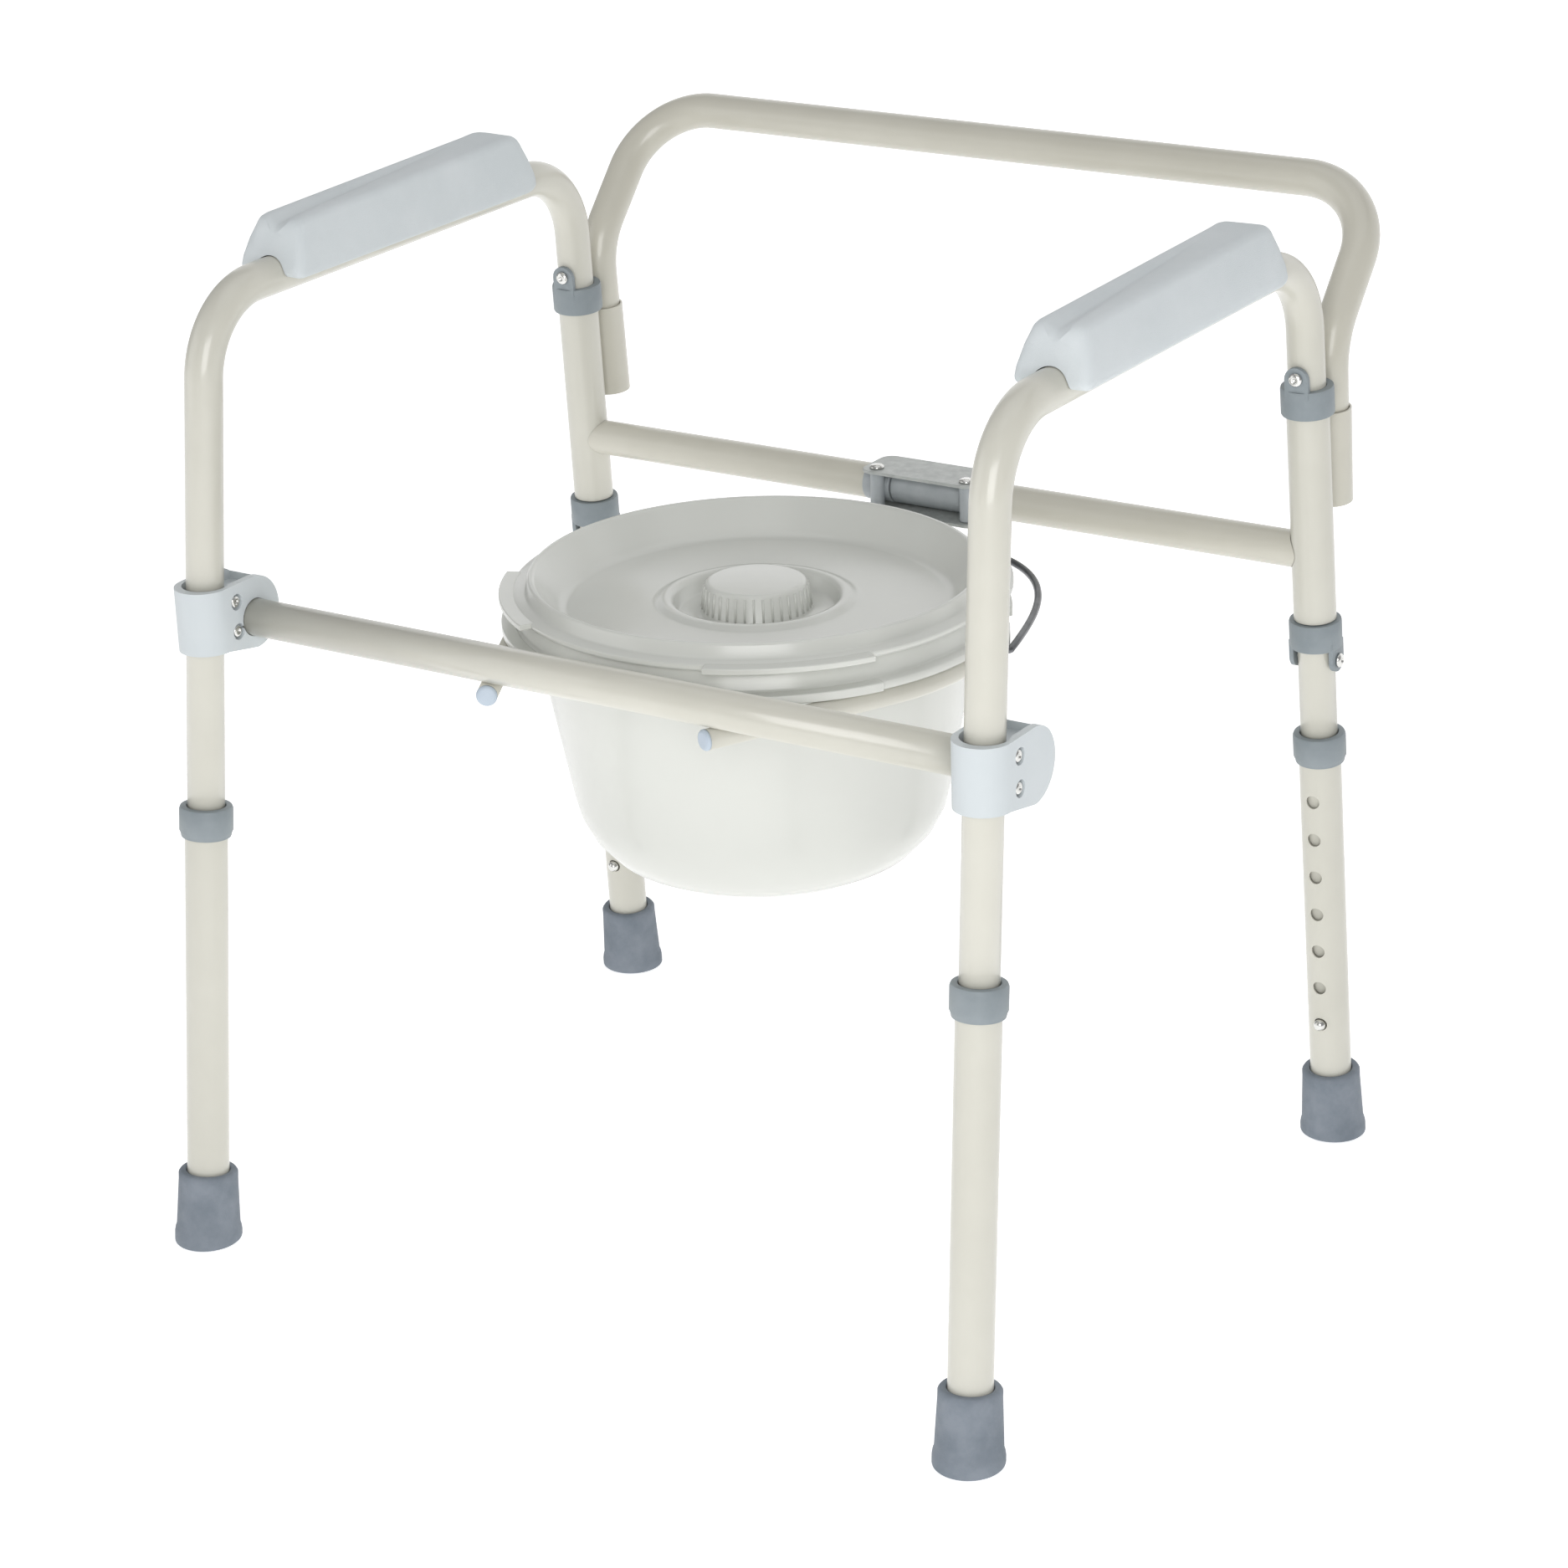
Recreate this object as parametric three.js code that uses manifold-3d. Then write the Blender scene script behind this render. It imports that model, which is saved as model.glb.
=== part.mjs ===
// Folding commode-style toilet safety frame: two arched side frames, front crossbar with a pail hoop,
// rear bar with a hinge bracket, plug-in back rail, telescopic legs, pail with bail and lid.
// Millimetres, +Y to the back of the frame, +Z up. Heights count from the floor and depths from the front legs;
// the finished model is shifted so that its origin is the middle of its footprint's bounding box.
import * as THREE from "three";
import { mergeVertices } from "three/addons/utils/BufferGeometryUtils.js";
import Module from "manifold-3d";

const wasm = await Module();
wasm.setup();

// ---------------------------------------------------------------- driving dimensions
const GAP = 0.3; // between pieces that touch on the real frame
const TUBE_SEGMENTS = 16;
const BEND_STEPS = 5;
const FRAME_TUBE_R = 11.1; // 22.2 mm frame tube
const FRAME_BORE_R = 9.9;
const OUTER_TUBE_R = 12.7; // 25.4 mm tube of leg extensions, sleeves and sockets
const EXTENSION_BORE_R = 11.6;
const SLEEVE_BORE_R = 11.9;
const HALF_WIDTH = 259.6; // side frame plane to centre at REFERENCE_HEIGHT
const REFERENCE_HEIGHT = 400;
const FRAME_DEPTH = 388.5; // front leg axis to rear leg axis at REFERENCE_HEIGHT
const FOOTPRINT_MIDDLE = 213.684; // depth of the bounding box's middle behind the front legs
const SIDE_LEAN = Math.atan(0.017); // each side frame leans in towards the top
const FRONT_RAKE = Math.atan(0.099); // front leg leans back towards the top
const REAR_RAKE = Math.atan(0.0771); // rear leg leans forward towards the top
const ARMREST_HEIGHT = 573.5;
const ARM_BEND_R = 50;
const PAD = {
  front: 74,
  back: 319,
  bottom: 573,
  top: 606,
  rearTop: 610,
  slope: 13,
  rearSlope: 10,
  width: 46,
  flank: 7, // upright part of the sides
  sideSlope: 6.5,
};
const HOLE_PITCH = 25.4;
const HOLE_COUNT = 7;
const HOLE_R = 4.2;
const LOWEST_HOLE = 80.7; // height of the lowest hole and the snap button
const FRAME_LEG_END = 62;
const EXTENSION_START = 8;
const EXTENSION_END = 272;
const LEG_COLLAR_GRIP = 16; // length of a leg collar below the extension's top
const FOOT_HEIGHT = 45;
const SLEEVE_START = 349;
const SLEEVE_END = 477.5;
const REAR_BAR_HEIGHT = 391;
const SOCKET_OFFSET = 27.8; // socket axis behind the rear leg axis
const SOCKET_START = 413.5;
const SOCKET_END = 472;
const RAIL_START = 418;
const RAIL_KNEE = 513;
const RAIL_TOP = { y: 476.3, z: 591.4 };
const RAIL_HALF_WIDTH = 259;
const RAIL_BENDS = [45, 48, 48, 45];
const CROSSBAR = { y: 24, z: 383.6, halfLength: 272 };
// Front clamp: a wrap round the leg that runs back into a round lobe over the crossbar's end.
const CLAMP = { half: 16.5, bottom: 370, top: 408.2, bore: 13.6, lobeR: 21.6, lobeZ: 386.6 };
const CLAMP_POCKET = { low: 369.8, high: 399, half: 12, back: 13 };
const CLAMP_SCREW = { shank: 1.9, length: 5, head: 3.6, headHeight: 1.4, seat: 14.9 };
const CLAMP_SCREW_PLACE = { y: 8.4, low: 379.5, high: 397.5 };
const HOOP = { y: 186, r: 141, rod: 6, footX: 74, footY: 19 };
const HOOP_Z = CROSSBAR.z - FRAME_TUBE_R - HOOP.rod - GAP;
const PAIL = { y: 186, z: HOOP_Z + HOOP.rod + GAP, turn: THREE.MathUtils.degToRad(14), segments: 32 };
const FLANGE_R = 146.2;
const EAR = { near: 147.8, far: 150.4, drop: 15, half: 11, pinDrop: 8.2 };
const BAIL = { wire: 2.2, halfWidth: 153.2, depth: 168, square: 0.65, end: 147.5 };
const BAIL_HANG = THREE.MathUtils.degToRad(91.5); // from straight down, swung back
const LID = { turn: THREE.MathUtils.degToRad(40), tabDegrees: 38, flange: 143, tab: 150 };
// Collars above and below each rear sleeve: a band with tabs that carry a screw or a bolt.
const COLLAR = {
  outer: 15.6,
  height: 17,
  tabHalf: 7.5,
  tabFace: 14.3,
  tabRise: 15,
  screwRise: 8,
  hole: 2.6,
  play: 0.5,
};
const COLLAR_SCREW = { shank: 2.2, length: 2.5, head: 4.2, headHeight: 2.2 };
const LOWER_BOLT_DROP = COLLAR.height + COLLAR.screwRise; // below the top of the lower collar
const COLLAR_BOLT = { shank: 2.2, head: 4.3, reach: 14.7, headHeight: 2.2 };
const BRACKET = {
  halfLength: 41,
  halfHeight: 13.6,
  plate: 2,
  front: 368,
  back: 403.2,
  pinX: 32,
  pinY: 376,
  chamfer: 7,
  webR: 11.9, // round web between the plates
  webY: 390.5,
  webHalf: 25,
};
const PIN = { shank: 3, head: 4.6, headHeight: 1.2 };

// ---------------------------------------------------------------- materials
const finish = (color, roughness, metalness) => new THREE.MeshStandardMaterial({ color, roughness, metalness });
const paint = finish(0xd5d2c6, 0.35, 0.1);
const padPlastic = finish(0xd8dcde, 0.7, 0);
const clampPlastic = finish(0xdde2e4, 0.5, 0);
const collarPlastic = finish(0x98a2aa, 0.55, 0);
const footRubber = finish(0x7f8a98, 0.85, 0);
const pailPlastic = finish(0xd8d8d2, 0.3, 0);
const zinc = finish(0xb2b4b2, 0.4, 1);
const brightSteel = finish(0xd0d0cc, 0.25, 1);
const bailWire = finish(0x55585c, 0.4, 1);
const plugPlastic = finish(0xafbccd, 0.5, 0);

// ---------------------------------------------------------------- scene helpers
const model = new THREE.Group();

function addPart(name, geometry, material, placing = new THREE.Matrix4()) {
  const mesh = new THREE.Mesh(geometry, material);
  mesh.name = name;
  mesh.applyMatrix4(placing);
  model.add(mesh);
}

// ---------------------------------------------------------------- solids
function solid(geometry) {
  const bare = (geometry.index ? geometry.toNonIndexed() : geometry).clone();
  bare.deleteAttribute("normal");
  bare.deleteAttribute("uv");
  const merged = mergeVertices(bare, 1e-4);
  const vertProperties = merged.attributes.position.array;
  const triVerts = new Uint32Array(merged.index.array);
  return new wasm.Manifold(new wasm.Mesh({ numProp: 3, vertProperties, triVerts }));
}

function surface(body) {
  const mesh = body.getMesh();
  const geometry = new THREE.BufferGeometry();
  geometry.setAttribute("position", new THREE.BufferAttribute(mesh.vertProperties, 3));
  geometry.setIndex(new THREE.BufferAttribute(mesh.triVerts, 1));
  geometry.computeVertexNormals();
  return geometry;
}

function cut(body, ...tools) {
  return surface(tools.reduce((left, tool) => left.subtract(solid(tool)), solid(body)));
}

function join(first, ...others) {
  return surface(others.reduce((sum, other) => sum.add(solid(other)), solid(first)));
}

// ---------------------------------------------------------------- basic shapes
// Solid of revolution about Z from [radius, height] points that start and end on the axis.
function turned(points, segments) {
  const profile = points.map(([r, z]) => new THREE.Vector2(r, z));
  return new THREE.LatheGeometry(profile, segments).rotateX(Math.PI / 2);
}

// Ring about Z: the profile closes on itself.
function turnedRing(points, segments) {
  return turned([...points, points[0]], segments);
}

function rod(radius, from, to, segments) {
  return turned([[0, from], [radius, from], [radius, to], [0, to]], segments);
}

function pipe(outer, inner, from, to, segments) {
  return turnedRing([[inner, from], [outer, from], [outer, to], [inner, to]], segments);
}

function block(x0, x1, y0, y1, z0, z1) {
  const box = new THREE.BoxGeometry(x1 - x0, y1 - y0, z1 - z0);
  return box.translate((x0 + x1) / 2, (y0 + y1) / 2, (z0 + z1) / 2);
}

// Block whose near and far X are counted outwards from the middle on the side of the sign.
function sideBlock(sign, near, far, y0, y1, z0, z1) {
  return block(Math.min(sign * near, sign * far), Math.max(sign * near, sign * far), y0, y1, z0, z1);
}

// A path through given points that keeps them as its only stations.
class StationPath extends THREE.Curve {
  constructor(points) {
    super();
    this.points = points;
  }
  getPointAt(t) {
    const last = this.points.length - 1;
    return this.points[Math.min(last, Math.round(t * last))].clone();
  }
  getPoint(t) {
    return this.getPointAt(t);
  }
  getTangentAt(t) {
    const last = this.points.length - 1;
    const i = Math.min(last, Math.round(t * last));
    const before = this.points[Math.max(0, i - 1)];
    const here = this.points[i];
    const after = this.points[Math.min(last, i + 1)];
    const arriving = here.clone().sub(before).normalize();
    const leaving = after.clone().sub(here).normalize();
    return arriving.add(leaving).normalize();
  }
}

// Rounds each inner corner of a polyline with an arc of its own radius.
function roundedPath(corners, radii, arcSteps) {
  const stations = [corners[0]];
  for (let i = 1; i < corners.length - 1; i += 1) {
    const back = corners[i - 1].clone().sub(corners[i]).normalize();
    const ahead = corners[i + 1].clone().sub(corners[i]).normalize();
    const half = back.angleTo(ahead) / 2;
    const reach = radii[i - 1] / Math.tan(half);
    const toCentre = back.clone().add(ahead).normalize();
    const centre = corners[i].clone().addScaledVector(toCentre, radii[i - 1] / Math.sin(half));
    const start = corners[i].clone().addScaledVector(back, reach).sub(centre);
    const end = corners[i].clone().addScaledVector(ahead, reach).sub(centre);
    const axis = start.clone().cross(end).normalize();
    const sweep = start.angleTo(end);
    for (let k = 0; k <= arcSteps; k += 1) {
      stations.push(start.clone().applyAxisAngle(axis, (sweep * k) / arcSteps).add(centre));
    }
  }
  stations.push(corners[corners.length - 1]);
  return stations;
}

function circleShape(radius, segments) {
  const points = [];
  for (let i = 0; i < segments; i += 1) {
    const angle = (2 * Math.PI * i) / segments;
    points.push(new THREE.Vector2(radius * Math.cos(angle), radius * Math.sin(angle)));
  }
  return points;
}

function tubeThrough(stations, outer, inner, segments = TUBE_SEGMENTS) {
  const shape = new THREE.Shape(circleShape(outer, segments));
  if (inner > 0) shape.holes.push(new THREE.Path(circleShape(inner, segments / 2).reverse()));
  const path = new StationPath(stations);
  return new THREE.ExtrudeGeometry(shape, { steps: stations.length - 1, extrudePath: path, curveSegments: 1 });
}

// ---------------------------------------------------------------- frame geometry
const sides = [{ name: "left", sign: -1 }, { name: "right", sign: 1 }];
const legEnds = [
  { name: "front", rake: -FRONT_RAKE, y: 0, holeFacing: 1 },
  { name: "rear", rake: REAR_RAKE, y: FRAME_DEPTH, holeFacing: -1 },
];
const frontLeg = legEnds[0];
const rearLeg = legEnds[1];

// Height on a leg's own axis of a height above the floor.
function along(end, height) {
  return height / Math.cos(end.rake);
}

// From the side frame's own upright plane (X outward, Z from the floor) to the model.
function sideMatrix(side) {
  const lean = new THREE.Matrix4().makeRotationY(-side.sign * SIDE_LEAN);
  const lower = new THREE.Matrix4().makeTranslation(0, 0, -REFERENCE_HEIGHT);
  const place = new THREE.Matrix4().makeTranslation(side.sign * HALF_WIDTH, 0, REFERENCE_HEIGHT);
  return place.multiply(lean).multiply(lower);
}

// From a leg's own frame (Z along the leg, origin on the floor) to the model.
function legMatrix(side, end) {
  const rake = new THREE.Matrix4().makeRotationX(end.rake);
  const foot = new THREE.Matrix4().makeTranslation(0, legY(end, 0), 0);
  return sideMatrix(side).multiply(foot).multiply(rake);
}

// Y of a leg's axis at a height, in the side plane.
function legY(end, height) {
  return end.y + Math.tan(end.rake) * (REFERENCE_HEIGHT - height);
}

// Frame of a rail socket: along the rear leg's rake, without the side lean, so both rail ends slide out together.
function socketMatrix(side) {
  const rake = new THREE.Matrix4().makeRotationX(REAR_RAKE);
  const foot = new THREE.Matrix4().makeTranslation(side.sign * RAIL_HALF_WIDTH, legY(rearLeg, 0), 0);
  return foot.multiply(rake).multiply(new THREE.Matrix4().makeTranslation(0, SOCKET_OFFSET, 0));
}

// ---------------------------------------------------------------- side frames
function archTube() {
  const corner = (end, height) => new THREE.Vector3(0, legY(end, height), height);
  const corners = [
    corner(frontLeg, FRAME_LEG_END),
    corner(frontLeg, ARMREST_HEIGHT),
    corner(rearLeg, ARMREST_HEIGHT),
    corner(rearLeg, FRAME_LEG_END),
  ];
  const path = roundedPath(corners, [ARM_BEND_R, ARM_BEND_R], BEND_STEPS);
  const tube = tubeThrough(path, FRAME_TUBE_R, FRAME_BORE_R);
  const boltHeight = SLEEVE_START - LOWER_BOLT_DROP - COLLAR.play;
  const boltHole = rod(COLLAR_BOLT.shank + GAP, -20, 20, 10).rotateY(Math.PI / 2);
  boltHole.translate(0, legY(rearLeg, boltHeight), boltHeight);
  return cut(tube, boltHole, ...legEnds.map((end) => buttonHole(end)));
}

// The hole the snap button comes through, in the side frame's plane.
function buttonHole(end) {
  const reach = 20;
  const hole = rod(HOLE_R, 0, reach, 10).rotateX(-end.holeFacing * (Math.PI / 2));
  return hole.rotateX(end.rake).translate(0, legY(end, LOWEST_HOLE), LOWEST_HOLE);
}

// Rounded-off wedge of plastic that sits on the armrest tube with a channel along its underside.
function armPad() {
  const { front, back, bottom, top, rearTop, slope, rearSlope, width, flank, sideSlope } = PAD;
  const outline = new THREE.Shape();
  outline.moveTo(front, bottom);
  outline.lineTo(back, bottom);
  outline.lineTo(back - rearSlope, rearTop);
  outline.lineTo(front + slope, top);
  outline.closePath();
  const slab = new THREE.ExtrudeGeometry(outline, { depth: width, bevelEnabled: false });
  slab.rotateY(Math.PI / 2).rotateX(Math.PI / 2).translate(-width / 2, 0, 0);
  const straight = bottom + flank;
  const flanks = [-1, 1].map((s) => {
    const wedge = new THREE.Shape();
    wedge.moveTo(s * (width / 2 + 1), straight);
    wedge.lineTo(s * (width / 2 + 1), rearTop + 1);
    wedge.lineTo(s * (width / 2 - sideSlope), rearTop + 1);
    wedge.lineTo(s * (width / 2), straight);
    wedge.closePath();
    const tool = new THREE.ExtrudeGeometry(wedge, { depth: 400, bevelEnabled: false });
    return tool.rotateX(Math.PI / 2).translate(0, 400, 0);
  });
  const channel = rod(FRAME_TUBE_R + 0.4, 0, 400, TUBE_SEGMENTS).rotateX(-Math.PI / 2);
  channel.translate(0, 0, ARMREST_HEIGHT);
  return cut(slab, channel, ...flanks);
}

function snapButton(end) {
  const y = end.holeFacing;
  const dome = turned([[0, 8.6], [3.6, 8.6], [3.6, 15.2], [2.4, 16.4], [0, 16.8]], 10);
  return dome.rotateX((-y * Math.PI) / 2).translate(0, 0, along(end, LOWEST_HOLE));
}

function snapSpring(end) {
  const y = end.holeFacing;
  const leaf = new THREE.Shape();
  const mid = along(end, LOWEST_HOLE);
  leaf.moveTo(y * 8.2, mid - 6);
  leaf.lineTo(y * 8.2, mid + 6);
  leaf.lineTo(y * 2, mid + 40);
  leaf.lineTo(-y * 7.5, mid - 2);
  leaf.lineTo(-y * 6.7, mid - 2);
  leaf.lineTo(y * 1.6, mid + 35);
  leaf.lineTo(y * 7.4, mid + 6);
  leaf.lineTo(y * 7.4, mid - 6);
  leaf.closePath();
  const strip = new THREE.ExtrudeGeometry(leaf, { depth: 8, bevelEnabled: false });
  return strip.rotateX(Math.PI / 2).rotateZ(Math.PI / 2).translate(-4, 0, 0);
}

// ---------------------------------------------------------------- legs
function legExtension(end) {
  const top = along(end, EXTENSION_END);
  const tube = pipe(OUTER_TUBE_R, EXTENSION_BORE_R, EXTENSION_START, top, TUBE_SEGMENTS);
  const holes = [];
  for (let i = 0; i < HOLE_COUNT; i += 1) {
    const hole = rod(HOLE_R, 0, 20, 6).rotateX((-end.holeFacing * Math.PI) / 2);
    holes.push(hole.translate(0, 0, along(end, LOWEST_HOLE) + i * HOLE_PITCH));
  }
  return cut(tube, ...holes);
}

function legCollar(end) {
  const bottom = along(end, EXTENSION_END) - LEG_COLLAR_GRIP;
  const lip = along(end, EXTENSION_END) + GAP;
  const inner = OUTER_TUBE_R + GAP;
  const guide = FRAME_TUBE_R + GAP;
  const profile = [
    [inner, bottom],
    [14.7, bottom],
    [15.9, bottom + 4],
    [15.9, lip + 1.7],
    [15.2, lip + 2.7],
    [guide, lip + 2.7],
    [guide, lip],
    [inner, lip],
  ];
  return turnedRing(profile, TUBE_SEGMENTS);
}

function foot(side, end) {
  const cup = OUTER_TUBE_R + GAP;
  const floor = EXTENSION_START - GAP;
  const profile = [
    [0, -4],
    [20.3, -4],
    [20.3, 6],
    [18.6, FOOT_HEIGHT - 3],
    [17.2, FOOT_HEIGHT],
    [cup, FOOT_HEIGHT],
    [cup, floor],
    [0, floor],
  ];
  const body = turned(profile, TUBE_SEGMENTS).applyMatrix4(legMatrix(side, end));
  const ground = block(-400, 400, -200, 600, -30, 0);
  return cut(body, ground);
}

// ---------------------------------------------------------------- rear sleeve collars and screws
function collarBand(from) {
  const inner = FRAME_TUBE_R + GAP;
  const { outer, height } = COLLAR;
  const profile = [[inner, from], [outer, from], [outer, from + height], [inner, from + height]];
  return turnedRing(profile, TUBE_SEGMENTS);
}

// Collar above the sleeve, with a screwed tab that stands up its inner side.
function topCollar(bottom) {
  const { height, tabHalf, tabFace, tabRise, screwRise, hole } = COLLAR;
  const near = -(FRAME_TUBE_R + GAP + 0.2);
  const tab = block(-tabHalf, tabHalf, -tabFace, near, bottom + height - 4, bottom + height + tabRise);
  const screwHole = rod(hole, 0, 30, 8).rotateX(Math.PI / 2).translate(0, 0, bottom + height + screwRise);
  return surface(solid(collarBand(bottom)).add(solid(tab)).subtract(solid(screwHole)));
}

// Collar below the sleeve, with a tab down each side of the leg for the bolt across it.
function lowerCollar(top) {
  const { height, tabHalf, tabFace, tabRise, hole } = COLLAR;
  const near = FRAME_TUBE_R + GAP + 0.2;
  const low = top - height - tabRise;
  const boltHole = rod(hole, -30, 30, 8).rotateY(Math.PI / 2).translate(0, 0, top - LOWER_BOLT_DROP);
  const [left, right] = sides.map((side) => {
    return sideBlock(side.sign, near, tabFace, -tabHalf, tabHalf, low, top - height + 4);
  });
  const whole = solid(collarBand(top - height)).add(solid(left)).add(solid(right));
  return surface(whole.subtract(solid(boltHole)));
}

// Button-head screw along +Z with its head's seat at the origin.
function screw(shank, length, head, headHeight) {
  const profile = [
    [0, -length],
    [shank, -length],
    [shank, 0],
    [head, 0],
    [head, headHeight * 0.4],
    [head * 0.6, headHeight],
    [head * 0.35, headHeight],
    [head * 0.35, headHeight * 0.4],
    [0, headHeight * 0.4],
  ];
  return turned(profile, 8);
}

// Bolt across a lower collar and the leg inside it, with a round head on each side.
function throughBolt() {
  const { shank, head, reach, headHeight } = COLLAR_BOLT;
  const end = reach + headHeight;
  const profile = [
    [0, -end],
    [head * 0.6, -end],
    [head, -reach - 0.8],
    [head, -reach],
    [shank, -reach],
    [shank, reach],
    [head, reach],
    [head, reach + 0.8],
    [head * 0.6, end],
    [head * 0.35, end],
    [head * 0.35, end - 1.2],
    [0, end - 1.2],
  ];
  return turned(profile, 8);
}

// ---------------------------------------------------------------- front crossbar group
function frontClampBody(side) {
  const { half, bottom, top, bore, lobeR, lobeZ } = CLAMP;
  const legAxisY = legY(frontLeg, CROSSBAR.z);
  const profile = new THREE.Shape();
  profile.moveTo(CROSSBAR.y, lobeZ - lobeR);
  profile.absarc(CROSSBAR.y, lobeZ, lobeR, -Math.PI / 2, Math.PI / 2, false);
  profile.lineTo(legAxisY, top);
  profile.lineTo(legAxisY, bottom);
  const lobe = new THREE.ExtrudeGeometry(profile, { depth: 2 * half, bevelEnabled: false, curveSegments: 8 });
  lobe.rotateY(Math.PI / 2).rotateX(Math.PI / 2).translate(-half, 0, 0);
  const wrap = rod(half, bottom, top, 20).translate(0, legAxisY, 0);
  const legBore = rod(bore, -60, 60, TUBE_SEGMENTS).rotateX(-FRONT_RAKE).translate(0, legAxisY, CROSSBAR.z);
  const barBore = rod(FRAME_TUBE_R + GAP, -40, CROSSBAR.halfLength - HALF_WIDTH + 0.8, TUBE_SEGMENTS);
  barBore.rotateY((side.sign * Math.PI) / 2).translate(0, CROSSBAR.y, CROSSBAR.z);
  const { low, high, half: pocketHalf, back } = CLAMP_POCKET;
  const pocket = (z0, z1) => block(-pocketHalf, pocketHalf, legAxisY, CROSSBAR.y + back, z0, z1);
  const tools = [legBore, barBore, pocket(low - 30, low), pocket(high, high + 30), ...clampScrewHoles()];
  const whole = solid(lobe).add(solid(wrap));
  return surface(tools.reduce((left, tool) => left.subtract(solid(tool)), whole));
}

function clampScrewPlaces() {
  const { y, low, high } = CLAMP_SCREW_PLACE;
  return [low, high].map((z) => new THREE.Vector3(0, y, z));
}

// A clearance hole right through and a sunk seat on each face, for both screw pairs.
function clampScrewHoles() {
  const { shank, head, seat } = CLAMP_SCREW;
  return clampScrewPlaces().flatMap((place) => {
    const through = rod(shank + GAP, -30, 30, 8).rotateY(Math.PI / 2);
    const sinks = [-1, 1].map((s) => {
      const sink = rod(head + GAP, seat - GAP, 30, 10).rotateY((s * Math.PI) / 2);
      return sink.translate(place.x, place.y, place.z);
    });
    return [through.translate(place.x, place.y, place.z), ...sinks];
  });
}

function crossbar() {
  const { halfLength, y, z } = CROSSBAR;
  const tube = pipe(FRAME_TUBE_R, FRAME_BORE_R, -halfLength, halfLength, TUBE_SEGMENTS);
  return tube.rotateY(Math.PI / 2).translate(0, y, z);
}

// One bent rod: both ends pass under the crossbar, the rest runs round the pail.
function pailHoop() {
  const dx = HOOP.footX;
  const dy = HOOP.y - HOOP.footY;
  const toCentre = Math.hypot(dx, dy);
  const spread = Math.asin(HOOP.r / toCentre) - Math.atan2(dx, dy);
  const steps = 18;
  const stations = [new THREE.Vector3(dx, HOOP.footY, HOOP_Z)];
  for (let i = 0; i <= steps; i += 1) {
    const angle = -spread + ((Math.PI + 2 * spread) * i) / steps;
    stations.push(new THREE.Vector3(HOOP.r * Math.cos(angle), HOOP.y + HOOP.r * Math.sin(angle), HOOP_Z));
  }
  stations.push(new THREE.Vector3(-dx, HOOP.footY, HOOP_Z));
  return { geometry: tubeThrough(stations, HOOP.rod, 0, 10), spread };
}

function hoopPlug(side, spread) {
  const plug = turned([[0, -2.6], [5.2, -2.6], [6.1, -1.6], [6.1, 0], [0, 0]], 12).translate(0, 0, -GAP);
  plug.rotateX(-Math.PI / 2).rotateZ(-side.sign * spread);
  return plug.translate(side.sign * HOOP.footX, HOOP.footY, HOOP_Z);
}

// ---------------------------------------------------------------- rear bar group
// Half of the rear bar: a tube closed at its inner end, with a tongue that reaches round the hinge pin.
function rearHalfBar(side) {
  const start = HALF_WIDTH;
  const end = BRACKET.halfLength + 1;
  const wallEnd = end + 3;
  const profile = [
    [0, end],
    [FRAME_TUBE_R, end],
    [FRAME_TUBE_R, start],
    [FRAME_BORE_R, start],
    [FRAME_BORE_R, wallEnd],
    [0, wallEnd],
  ];
  const y = legY(rearLeg, REAR_BAR_HEIGHT);
  const bar = turned(profile, TUBE_SEGMENTS).rotateY((side.sign * Math.PI) / 2);
  bar.translate(0, y, REAR_BAR_HEIGHT);
  const tongueHalf = 1.6;
  const low = REAR_BAR_HEIGHT - tongueHalf;
  const high = REAR_BAR_HEIGHT + tongueHalf;
  const { pinX, pinY } = BRACKET;
  const tongue = sideBlock(side.sign, pinX - 6, end + 1.4, pinY - 6, y + 4.3, low, high);
  const pinHole = rod(PIN.shank + 0.05, low - 5, high + 5, 12).translate(side.sign * pinX, pinY, 0);
  const sleeve = rod(OUTER_TUBE_R + GAP, 300, 500, 24).applyMatrix4(legMatrix(side, rearLeg));
  return surface(solid(bar).add(solid(tongue)).subtract(solid(pinHole)).subtract(solid(sleeve)));
}

function hingeBracket() {
  const { halfLength, halfHeight, plate, front, back, pinX, pinY, chamfer } = BRACKET;
  const { webR, webY, webHalf } = BRACKET;
  const z = REAR_BAR_HEIGHT;
  const outer = new THREE.Shape();
  outer.moveTo(-halfLength + chamfer, front);
  outer.lineTo(halfLength - chamfer, front);
  outer.lineTo(halfLength, front + chamfer);
  outer.lineTo(halfLength, back - chamfer);
  outer.lineTo(halfLength - chamfer, back);
  outer.lineTo(-halfLength + chamfer, back);
  outer.lineTo(-halfLength, back - chamfer);
  outer.lineTo(-halfLength, front + chamfer);
  outer.closePath();
  const body = new THREE.ExtrudeGeometry(outer, { depth: 2 * halfHeight, bevelEnabled: false });
  body.translate(0, 0, z - halfHeight);
  const inside = halfHeight - plate;
  const hollow = block(-halfLength - 5, halfLength + 5, front - 5, back - plate, z - inside, z + inside);
  const holes = [-1, 1].map((s) => rod(PIN.shank + GAP, z - 20, z + 20, 12).translate(s * pinX, pinY, 0));
  const web = rod(webR, -webHalf, webHalf, 24).rotateY(Math.PI / 2).translate(0, webY, z);
  const shell = [hollow, ...holes].reduce((left, tool) => left.subtract(solid(tool)), solid(body));
  return surface(shell.add(solid(web)));
}

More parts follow.
